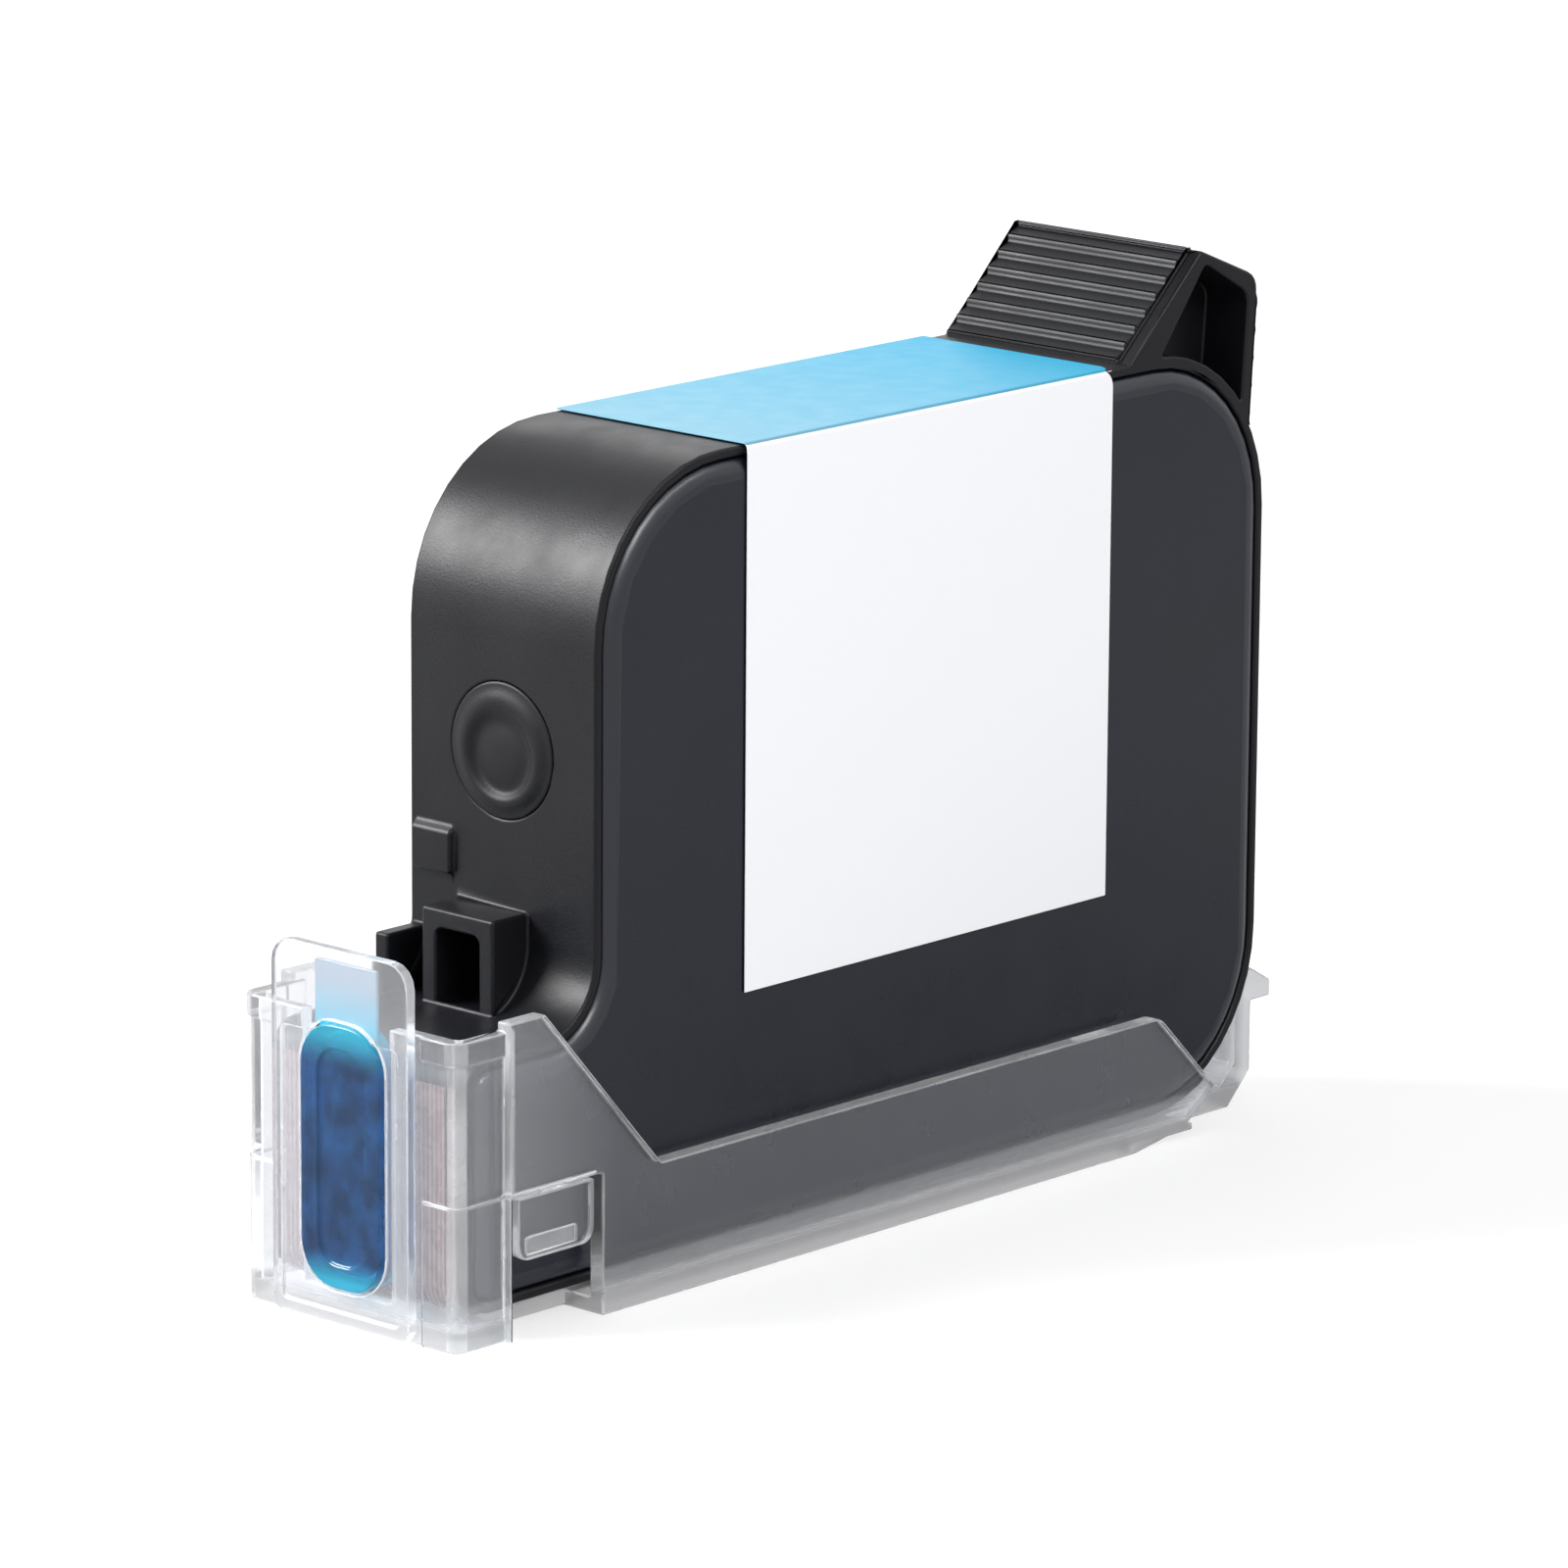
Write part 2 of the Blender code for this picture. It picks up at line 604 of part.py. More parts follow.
def make_ink_fittings(plug_finish, filter_finish):
    """The crowned plug in the fill port and the filter over the standpipe's mouth."""
    flange_back = PORT_FLANGE_DEPTH - THIN_GAP
    flange_radius = PORT_FLANGE_RADIUS - GAP
    crown = [
        (flange_radius, flange_back),
        (flange_radius, 0.0),
        (flange_radius - GAP, -PLUG_CROWN_RISE / 2),
        (PLUG_CROWN_RADIUS, -PLUG_CROWN_RISE),
    ]
    plug = solid("fill_plug", turned(crown, PORT_HEIGHT), plug_finish)
    stem = disc(PORT_RADIUS - GAP, flange_back - THIN_GAP, FRAME_WALL, PORT_HEIGHT)
    add(plug, "stem", stem)
    floor = PLUG_DIMPLE_DEPTH - PLUG_CROWN_RISE
    dimple = [
        (PLUG_DIMPLE_RADIUS - PLUG_DIMPLE_DEPTH, floor),
        (PLUG_DIMPLE_RADIUS, floor - PLUG_DIMPLE_DEPTH),
        (PLUG_DIMPLE_RADIUS, -FRAME_WALL),
    ]
    cut(plug, "dimple", turned(dimple, PORT_HEIGHT))
    mouth = wall_depth(BAG_INSIDE, PIPE_HEIGHT - FILTER_RADIUS) + GAP
    screen = disc(FILTER_RADIUS, mouth, mouth + FILTER_THICKNESS, PIPE_HEIGHT)
    solid("ink_filter", screen, filter_finish)


def make_print_head(die_finish, plate_finish, bead_finish):
    """The silicon die, the nozzle plate over it and the beads that seal its two ends."""
    y, z = head_spans(DIE_WIDTH, DIE_LENGTH)
    die_x = GAP - SNOUT_REACH
    solid("printhead_die", box((die_x, die_x + DIE_THICKNESS), y, z), die_finish)
    y, z = head_spans(HEAD_WIDTH, HEAD_LENGTH)
    plate_x = FLEX_FACE
    outline = rounded([(y[0], z[0], GAP), (y[1], z[0], GAP), (y[1], z[1], GAP), (y[0], z[1], GAP)])
    plate = prism(outline, plate_x, plate_x + FLEX_THICKNESS, "YZ")
    solid("nozzle_plate", plate, plate_finish)
    for name, side in (("lower", -1), ("upper", 1)):
        height = HEAD_HEIGHT + side * (DIE_LENGTH / 2 - BEAD_RADIUS)
        flat = FLEX_FACE - THIN_GAP
        turns = [math.pi * index / (2 * SMALL_STEPS) for index in range(2 * SMALL_STEPS + 1)]
        outline = [
            (flat - BEAD_RISE * math.sin(turn), height + BEAD_RADIUS * math.cos(turn)) for turn in turns
        ]
        bead = prism(outline, -BEAD_LENGTH / 2, BEAD_LENGTH / 2)
        solid(f"bead_{name}", bead, bead_finish)


def make_flex_circuit(finish):
    """The flexible circuit: it covers the nozzle face, turns the corner and lies under the tank."""
    bend_x, bend_z = SNOUT_RADIUS - SNOUT_REACH, BASE + SNOUT_RADIUS
    outline = []
    for radius, order in ((SNOUT_RADIUS + THIN_GAP + FLEX_THICKNESS, 1), (SNOUT_RADIUS + THIN_GAP, -1)):
        side = [(FLEX_END, bend_z - radius)]
        for step in range(2 * SMALL_STEPS + 1):
            angle = math.pi / 2 * step / (2 * SMALL_STEPS)
            side.append((bend_x - radius * math.sin(angle), bend_z - radius * math.cos(angle)))
        side.append((bend_x - radius, HEAD_HEIGHT + HEAD_LENGTH / 2 + FLEX_MARGIN))
        outline += side[::order]
    half = HALF - FLEX_SIDE_INSET
    flex = solid("flex_circuit", prism(outline, -half, half), finish)
    y, z = head_spans(HEAD_WIDTH + 2 * GAP, HEAD_LENGTH + 2 * GAP)
    cut(flex, "window", box((-SNOUT_REACH * 2, -SNOUT_REACH + GAP), y, z))


def make_label(finish):
    """The sticker: its side panel turns over the top edge and crosses the tank's top."""
    side_y = -COVER_FACE - THIN_GAP
    top_z = TOP + THIN_GAP
    low = BASE + LABEL_RISE
    outer = side_y - LABEL_THICKNESS
    bend = 4 * LABEL_THICKNESS
    section = rounded(
        [
            (outer, low, 0.0),
            (side_y, low, 0.0),
            (side_y, top_z, bend - LABEL_THICKNESS),
            (HALF, top_z, 0.0),
            (HALF, top_z + LABEL_THICKNESS, 0.0),
            (outer, top_z + LABEL_THICKNESS, bend),
        ]
    )
    end = HANDLE_FOOT - LABEL_TO_HANDLE
    label = solid("label", prism(section, LABEL_START, end, "YZ"), finish)
    side_corner = corner_waste(end, top_z + LABEL_THICKNESS)
    cut(label, "side_corner", prism(side_corner, 2 * outer, side_y + THIN_GAP))
    top_corner = corner_waste(end, -outer)
    mirrored_corner = [(x, -y) for x, y in top_corner]
    cut(label, "top_corner", prism(mirrored_corner, top_z - THIN_GAP, 2 * top_z, "XY"))


def corner_waste(end, edge):
    """What a round corner takes off a sheet that ends at end and edge."""
    points = [(end + MM, edge + MM), (end - LABEL_RADIUS, edge + MM)]
    for step in range(CORNER_STEPS + 1):
        angle = math.pi / 2 * (1 - step / CORNER_STEPS)
        arc_x = end - LABEL_RADIUS + LABEL_RADIUS * math.cos(angle)
        points.append((arc_x, edge - LABEL_RADIUS + LABEL_RADIUS * math.sin(angle)))
    points.append((end + MM, edge - LABEL_RADIUS))
    return points


# ---------------------------------------------------------------- clip


def flank_outline():
    """The clip's side wall seen from the side."""
    return rounded(
        [
            (FLANK_START, 0.0, 0.0),
            (WIDE_FLOOR_END, 0.0, 0.0),
            (FLANK_END - FLANK_END_Z, FLANK_END_Z / 4, 0.0),
            (FLANK_END, FLANK_END_Z, 0.0),
            (LENGTH - FLANK_TOP_INSET, SIDE_HEIGHT, SIDE_RADIUS),
            (RAMP_FOOT, SIDE_HEIGHT, 0.0),
            (-SHOULDER_REACH, SHOULDER_TOP, 0.0),
            (FLANK_START, SHOULDER_TOP, 0.0),
        ]
    )


def hook_outline():
    """The tail of the clip seen from the side: its floor, its end wall and the finger ledge."""
    inner_low = HOOK_CHAMFER + HOOK_WALL / 2
    return [
        (WIDE_FLOOR_END - CLIP_WALL, 0.0),
        (HOOK_OUTER_X - HOOK_CHAMFER, 0.0),
        (HOOK_OUTER_X, HOOK_CHAMFER),
        (HOOK_OUTER_X, HOOK_TOP - LEDGE_DEPTH),
        (LEDGE_X, HOOK_TOP - LEDGE_DEPTH),
        (LEDGE_X, HOOK_TOP - LEDGE_DEPTH / 2),
        (HOOK_OUTER_X, HOOK_TOP),
        (HOOK_INNER_X, HOOK_TOP),
        (HOOK_INNER_X, inner_low),
        (HOOK_INNER_X - inner_low + CLIP_FLOOR, CLIP_FLOOR),
        (WIDE_FLOOR_END - CLIP_WALL, CLIP_FLOOR),
    ]


def gusset_outline():
    """The tail's side wall, which follows the cartridge's corner."""
    radius = CORNER_RADIUS + GUSSET_GAP
    centre_x, centre_z = LENGTH - CORNER_RADIUS, BASE + CORNER_RADIUS
    points = [(HOOK_OUTER_X - HOOK_CHAMFER, CLIP_FLOOR / 2), (HOOK_OUTER_X - CLIP_FLOOR / 2, HOOK_CHAMFER)]
    points.append((HOOK_OUTER_X - HOOK_WALL / 2, HOOK_TOP - GAP))
    start = math.asin((centre_z - HOOK_TOP + GAP) / radius)
    end = math.radians(80)
    for step in range(CORNER_STEPS + 1):
        angle = start + (end - start) * step / CORNER_STEPS
        point = (centre_x + radius * math.cos(angle), centre_z - radius * math.sin(angle))
        points.append((point[0], max(point[1], CLIP_FLOOR * 0.8)))
    return points


def corner_band(proud, side):
    """A strip round one outer corner of the snout pocket, seen from above."""
    back = GAP * 2
    front_x, side_y = POCKET_OUTER_X - proud, POCKET_OUTER_Y + proud
    end = FLANK_START + GAP
    outline = rounded(
        [
            (front_x, BAND_START, 0.0),
            (POCKET_OUTER_X + back, BAND_START, 0.0),
            (POCKET_OUTER_X + back, POCKET_OUTER_Y - back, 0.0),
            (end, POCKET_OUTER_Y - back, 0.0),
            (end, side_y, 0.0),
            (front_x, side_y, POCKET_RADIUS + proud),
        ]
    )
    return [(x, side * y) for x, y in outline]


def make_clip_shell(finish):
    """The clear clip: floor, side walls, snout pocket, tail hook and latch windows."""
    pocket_floor = prism(
        rounded(
            [
                (POCKET_OUTER_X, -POCKET_OUTER_Y, POCKET_RADIUS),
                (0.0, -POCKET_OUTER_Y, 0.0),
                (0.0, POCKET_OUTER_Y, 0.0),
                (POCKET_OUTER_X, POCKET_OUTER_Y, POCKET_RADIUS),
            ]
        ),
        0.0,
        POCKET_TOP,
        "XY",
    )
    shell = solid("clip_shell", pocket_floor, finish, CLIP_ORIGIN, "clip")
    inner_radius = POCKET_RADIUS / 2
    inside = rounded(
        [
            (POCKET_INNER_X, -POCKET_INNER_Y, inner_radius),
            (LENGTH, -POCKET_INNER_Y, 0.0),
            (LENGTH, POCKET_INNER_Y, 0.0),
            (POCKET_INNER_X, POCKET_INNER_Y, inner_radius),
        ]
    )
    cut(shell, "pocket", prism(inside, CLIP_FLOOR, POCKET_TOP * 2, "XY"))
    beyond = (FLANK_START + POCKET_WALL, LENGTH)
    cut(shell, "pocket_end", box(beyond, (-LENGTH, LENGTH), (CLIP_FLOOR, LENGTH)))
    floor_y = (-CLIP_OUTER_Y, CLIP_OUTER_Y)
    add(shell, "floor", box((FLANK_START, WIDE_FLOOR_END), floor_y, (0.0, CLIP_FLOOR)))
    for side in (-1, 1):
        flank = mirrored((CLIP_INNER_Y, CLIP_OUTER_Y), side)
        add(shell, f"flank_{side}", prism(flank_outline(), *flank))
        gusset = mirrored((TAIL_WIDTH / 2 - GUSSET_THICKNESS, TAIL_WIDTH / 2), side)
        if side < 0:
            add(shell, "tail", prism(hook_outline(), -TAIL_WIDTH / 2, TAIL_WIDTH / 2))
        rim_z = (POCKET_TOP - BAND_HEIGHT, POCKET_TOP)
        add(shell, f"rim_{side}", prism(corner_band(BAND_PROUD, side), *rim_z, "XY"))
        add(shell, f"step_{side}", prism(corner_band(STEP_PROUD, side), 0.0, WINDOW_TOP, "XY"))
        add(shell, f"gusset_{side}", prism(gusset_outline(), *gusset))
        bridge = mirrored((TAIL_WIDTH / 2 - GUSSET_THICKNESS, CLIP_OUTER_Y), side)
        bridge_x = (WIDE_FLOOR_END - CLIP_WALL, FLANK_END - 2 * CLIP_WALL)
        add(shell, f"bridge_{side}", box(bridge_x, bridge, (CLIP_FLOOR / 2, CLIP_FLOOR)))
        rest = mirrored((REST_RIB_Y, REST_RIB_Y + REST_RIB_WIDTH), side)
        rest_z = (CLIP_FLOOR / 2, CLIP_FLOOR + CLIP_REST)
        rest_x = (REST_RIB_START, LENGTH - REST_RIB_END_INSET)
        add(shell, f"rest_rib_{side}", box(rest_x, rest, rest_z))
        window = mirrored((CLIP_INNER_Y - WINDOW_FLOOR_INSET, CLIP_OUTER_Y * 2), side)
        window_x = (FLANK_START + GAP, WINDOW_END)
        cut(shell, f"window_{side}", box(window_x, window, (-CLIP_FLOOR, WINDOW_TOP)))
    slot = SEAL_WIDTH / 2 + SEAL_SLOT_GAP
    slot_z = (SEAL_BASE - SEAL_SLOT_GAP, POCKET_TOP * 2)
    cut(shell, "seal_slot", box((POCKET_OUTER_X * 2, POCKET_INNER_X + GAP), (-slot, slot), slot_z))


def make_latches(finish):
    """The two sprung tongues in the latch windows, each hinged at its top edge."""
    low_x, high_x = FLANK_START + GAP + TONGUE_MARGIN, WINDOW_END - TONGUE_MARGIN
    top = WINDOW_TOP - GAP
    outline = rounded(
        [
            (low_x, TONGUE_BASE, TONGUE_RADIUS),
            (high_x, TONGUE_BASE, TONGUE_RADIUS),
            (high_x, top, 0.0),
            (low_x, top, 0.0),
        ]
    )
    outer = CLIP_OUTER_Y - TONGUE_INSET
    inner = outer - TONGUE_THICKNESS
    bump_x = (low_x + BUMP_MARGIN, high_x - BUMP_MARGIN)
    bump_z = (TONGUE_BASE + GAP, TONGUE_BASE + GAP + BUMP_HEIGHT)
    for name, side in (("latch_front", -1), ("latch_rear", 1)):
        axis = ((low_x + high_x) / 2, side * (inner + outer) / 2, WINDOW_TOP - GAP / 2)
        leaf = prism(outline, *mirrored((inner, outer), side))
        tongue = solid(name, leaf, finish, axis, "clip")
        bump = mirrored((COVER_FACE + GAP, inner + GAP), side)
        add(tongue, "bump", box(bump_x, bump, bump_z))


def make_seal(carrier_finish, seal_finish):
    """The plate with the pull tab, and the soft seal that it presses on the nozzles."""
    half = CARRIER_WIDTH / 2
    plate = rounded(
        [
            (-half, CARRIER_BASE, CARRIER_BASE_RADIUS),
            (half, CARRIER_BASE, CARRIER_BASE_RADIUS),
            (half, CARRIER_TOP, CARRIER_TOP_RADIUS),
            (-half, CARRIER_TOP, CARRIER_TOP_RADIUS),
        ]
    )
    carrier_shape = prism(plate, CARRIER_FRONT, CARRIER_BACK, "YZ")
    carrier = solid("seal_carrier", carrier_shape, carrier_finish, CARRIER_AXIS, "clip")
    tray = rounded(
        [
            (TRAY_INSET - half, CARRIER_BASE + TRAY_INSET, CARRIER_BASE_RADIUS / 2),
            (half - TRAY_INSET, CARRIER_BASE + TRAY_INSET, CARRIER_BASE_RADIUS / 2),
            (half - TRAY_INSET, POCKET_TOP - TRAY_DROP, CARRIER_BASE_RADIUS / 2),
            (TRAY_INSET - half, POCKET_TOP - TRAY_DROP, CARRIER_BASE_RADIUS / 2),
        ]
    )
    cut(carrier, "tray", prism(tray, CARRIER_FRONT - MM, CARRIER_FRONT + TRAY_DEPTH, "YZ"))
    cut(carrier, "seal_hole", prism(capsule(-GAP), CARRIER_FRONT - MM, CARRIER_BACK + MM, "YZ"))
    back = CARRIER_BACK + GAP
    front = CARRIER_FRONT + SEAL_BOSS_DROP
    pad = prism(capsule(0.0), front, SEAL_LIP_X, "YZ")
    seal = solid("nozzle_seal", pad, seal_finish, CARRIER_AXIS, "clip")
    cut(seal, "face", prism(capsule(SEAL_LIP), SEAL_LIP_X - SEAL_FACE, SEAL_LIP_X + SEAL_FACE, "YZ"))
    panel = capsule(SEAL_PANEL_INSET)
    cut(seal, "panel", prism(panel, front - MM, front + SEAL_PANEL_DEPTH, "YZ"))
    tongue_y = (-SEAL_TONGUE_WIDTH / 2, SEAL_TONGUE_WIDTH / 2)
    tongue_z = (SEAL_TOP - SEAL_WIDTH / 2, CARRIER_TOP - SEAL_TONGUE_DROP)
    add(seal, "tongue", box((back, back + SEAL_TONGUE_THICKNESS), tongue_y, tongue_z))


def capsule(inset):
    """The seal's front view, drawn in by inset."""
    half = SEAL_WIDTH / 2 - inset
    radius = half * 0.8
    return rounded(
        [
            (-half, SEAL_BASE + inset, radius),
            (half, SEAL_BASE + inset, radius),
            (half, SEAL_TOP - inset, radius),
            (-half, SEAL_TOP - inset, radius),
        ],
        CORNER_STEPS,
    )


def main():
    clear_scene()
    assembly = pivot("assembly", None, (CENTRE_SHIFT, 0.0, 0.0))
    pivot("clip", assembly, CLIP_ORIGIN)
    pivot("cartridge", assembly, SWING_AXIS)

    black = material("black_body", (0.016, 0.016, 0.018), 0.45)
    cover = material("cover_black", (0.024, 0.025, 0.03), 0.5)
    natural = material("natural_polymer", (0.72, 0.72, 0.68), 0.5)
    film = material("bag_film", (0.5, 0.52, 0.55), 0.25, alpha=0.6)
    steel = material("spring_steel", (0.55, 0.55, 0.56), 0.3, metallic=1.0)
    mesh = material("filter_mesh", (0.42, 0.42, 0.4), 0.4, metallic=1.0)
    plug = material("port_plug", (0.014, 0.014, 0.015), 0.5)
    polyimide = material("polyimide", (0.42, 0.16, 0.05), 0.3)
    silicon = material("silicon", (0.12, 0.12, 0.14), 0.15)
    gold = material("nozzle_gold", (0.72, 0.5, 0.2), 0.3, metallic=1.0)
    resin = material("bead_resin", (0.03, 0.03, 0.03), 0.2)
    paper = material("label_paper", (0.9, 0.9, 0.92), 0.5)
    clear = material("clear_plastic", (0.88, 0.89, 0.91), 0.08, alpha=0.35)
    blue = material("seal_blue", (0.02, 0.18, 0.42), 0.3)

    make_pen_frame(black)
    make_covers(cover)
    make_inner_frame(natural)
    make_ink_bag(film, steel, steel)
    make_ink_fittings(plug, mesh)
    make_print_head(silicon, gold, resin)
    make_flex_circuit(polyimide)
    make_label(paper)
    make_clip_shell(clear)
    make_latches(clear)
    make_seal(clear, blue)


main()
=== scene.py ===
"""A flat inkjet print cartridge in its clear storage clip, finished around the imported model."""

import json
import math

import bmesh
import bpy
from bpy.props import FloatProperty, FloatVectorProperty, PointerProperty
from mathutils import Matrix, Vector


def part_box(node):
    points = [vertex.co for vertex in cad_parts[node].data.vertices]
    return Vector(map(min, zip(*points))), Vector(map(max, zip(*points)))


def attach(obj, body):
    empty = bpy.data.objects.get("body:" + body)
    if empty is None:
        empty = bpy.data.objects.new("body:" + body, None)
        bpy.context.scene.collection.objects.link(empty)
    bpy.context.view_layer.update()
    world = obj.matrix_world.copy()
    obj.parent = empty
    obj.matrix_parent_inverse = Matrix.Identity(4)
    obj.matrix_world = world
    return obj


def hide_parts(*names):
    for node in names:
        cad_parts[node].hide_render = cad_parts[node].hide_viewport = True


bl_info = {
    "name": "Print cartridge in its storage clip",
    "version": (1, 0, 0),
    "blender": (4, 5, 0),
    "location": "View3D > Sidebar > Cartridge",
    "description": "Finishes a flat print cartridge, its clear clip and its nozzle seal",
    "category": "Object",
}

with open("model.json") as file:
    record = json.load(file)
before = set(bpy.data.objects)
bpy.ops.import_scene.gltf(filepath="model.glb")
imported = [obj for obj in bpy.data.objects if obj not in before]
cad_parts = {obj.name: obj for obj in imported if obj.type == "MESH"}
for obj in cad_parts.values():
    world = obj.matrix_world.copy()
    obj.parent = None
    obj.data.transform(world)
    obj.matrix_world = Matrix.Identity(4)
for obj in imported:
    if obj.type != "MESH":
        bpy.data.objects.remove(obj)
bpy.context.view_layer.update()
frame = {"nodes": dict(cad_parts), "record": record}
NODES = frame["nodes"]
BODY_OF = {
    node: body
    for body, members in frame["record"]["behaviour"]["bodies"].items()
    for node in members
}

MM = 0.001
PER_MM = 1000.0
WELD_DISTANCE = 0.002 * MM
FLAT_ANGLE = math.radians(1.0)
EDGE_ANGLE = math.radians(30.0)
CREASE_ANGLE = math.radians(50.0)
NARROW_FACE = 1.7 * MM
PLATE_NARROW_FACE = 0.7 * MM
# Heights and lengths in millimetres, as the finishes measure them.
LABEL_FOLD_DROP = 0.2
# The foot's frost and its painted shade fade out between these heights.
SEAL_TONGUE_REACH = 5.7
FOOT_FROST_AND_SHADE = (1.9, 2.5)
FILLET_FROST = (3.9, 4.8)
POCKET_CLOUD = (-51.0, -38.0)
TAIL_CLOUD = (53.5, 56.0)
# Heights over which the seal's painted glow fades, from its top and from its foot.
SEAL_TOP_GLOW_FADE = (4.0, 1.0)
SEAL_FOOT_GLOW_FADE = (0.8, 3.0)
SEAL_TONGUE_FADE = (0.3, 4.0)


# Meshes


def joined_copy(node):
    """The node's shape as one clean mesh, with the facets of each flat face joined."""
    shape = bmesh.new()
    shape.from_mesh(NODES[node].data)
    bmesh.ops.remove_doubles(shape, verts=shape.verts, dist=WELD_DISTANCE)
    bmesh.ops.dissolve_limit(
        shape, angle_limit=FLAT_ANGLE, verts=shape.verts, edges=shape.edges
    )
    mesh = bpy.data.meshes.new(node + "_shape")
    shape.to_mesh(mesh)
    shape.free()
    return mesh


def linked_object(name, mesh):
    """An object for the mesh, in the scene."""
    made = bpy.data.objects.new(name, mesh)
    bpy.context.scene.collection.objects.link(made)
    return made


def round_edges(piece, radius, segments, edge_material=None, narrow=NARROW_FACE):
    """Rolls the piece's edges to a radius and shades it smoothly. The rolled edges and the narrow faces
    between them take a finish of their own if one is given: a brighter copy, a painted highlight."""
    bevel = piece.modifiers.new("Rolled edges", "BEVEL")
    bevel.width = radius
    bevel.segments = segments
    bevel.limit_method = "ANGLE"
    bevel.angle_limit = EDGE_ANGLE
    bevel.use_clamp_overlap = False
    bevel.miter_outer = "MITER_ARC"
    if edge_material:
        piece.data.materials.append(edge_material)
        bevel.material = len(piece.data.materials) - 1
        for face in piece.data.polygons:
            if face_width(piece.data, face) < narrow:
                face.material_index = bevel.material
    piece.data.shade_smooth()
    piece.data.set_sharp_from_angle(angle=math.pi)
    shading = piece.modifiers.new("Face shading", "WEIGHTED_NORMAL")
    shading.keep_sharp = True


def face_width(mesh, face):
    """About how wide a face is across its longest edge."""
    corners = [mesh.vertices[index].co for index in face.vertices]
    longest = max((a - b).length for a, b in zip(corners, corners[1:] + corners[:1]))
    return face.area / longest


def stand_for(piece, node):
    """Lets a piece take a node's place and its body."""
    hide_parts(node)
    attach(piece, BODY_OF[node])


def moulded_piece(name, node, radius, material, segments=2, **edge_highlight_finish):
    """A finished piece that stands for a node: its own shape with rolled edges and a finish."""
    piece = linked_object(name, joined_copy(node))
    piece.data.materials.clear()
    piece.data.materials.append(material)
    round_edges(piece, radius, segments, **edge_highlight_finish)
    stand_for(piece, node)


def turned_mesh(name, rings, sides):
    """A closed round solid along X, through rings of (radius, x, centre height)."""
    points = [
        (x, radius * math.cos(2 * math.pi * side / sides), z + radius * math.sin(2 * math.pi * side / sides))
        for radius, x, z in rings
        for side in range(sides)
    ]
    faces = []
    for ring in range(len(rings) - 1):
        low, high = ring * sides, (ring + 1) * sides
        for side in range(sides):
            after = (side + 1) % sides
            faces.append((low + side, low + after, high + after, high + side))
    faces.append(tuple(reversed(range(sides))))
    faces.append(tuple(range(len(points) - sides, len(points))))
    mesh = bpy.data.meshes.new(name)
    mesh.from_pydata(points, [], faces)
    clean = bmesh.new()
    clean.from_mesh(mesh)
    bmesh.ops.recalc_face_normals(clean, faces=clean.faces)
    clean.to_mesh(mesh)
    clean.free()
    mesh.shade_smooth()
    mesh.set_sharp_from_angle(angle=CREASE_ANGLE)
    return mesh


def finish_node(node, material):
    """Gives a node that keeps its own shape a finish."""
    slots = NODES[node].data.materials
    slots.clear()
    slots.append(material)


# Finishes

CLEAR_IOR = 1.45
# Most of a noise pattern lies between these two values.
NOISE_LOW, NOISE_HIGH = 0.35, 0.65
# The Mix node's sockets for colours.
MIX_FIRST, MIX_SECOND, MIX_RESULT = 6, 7, 2
ROLLING_LINES = (0.04, 1.0, 1.0)


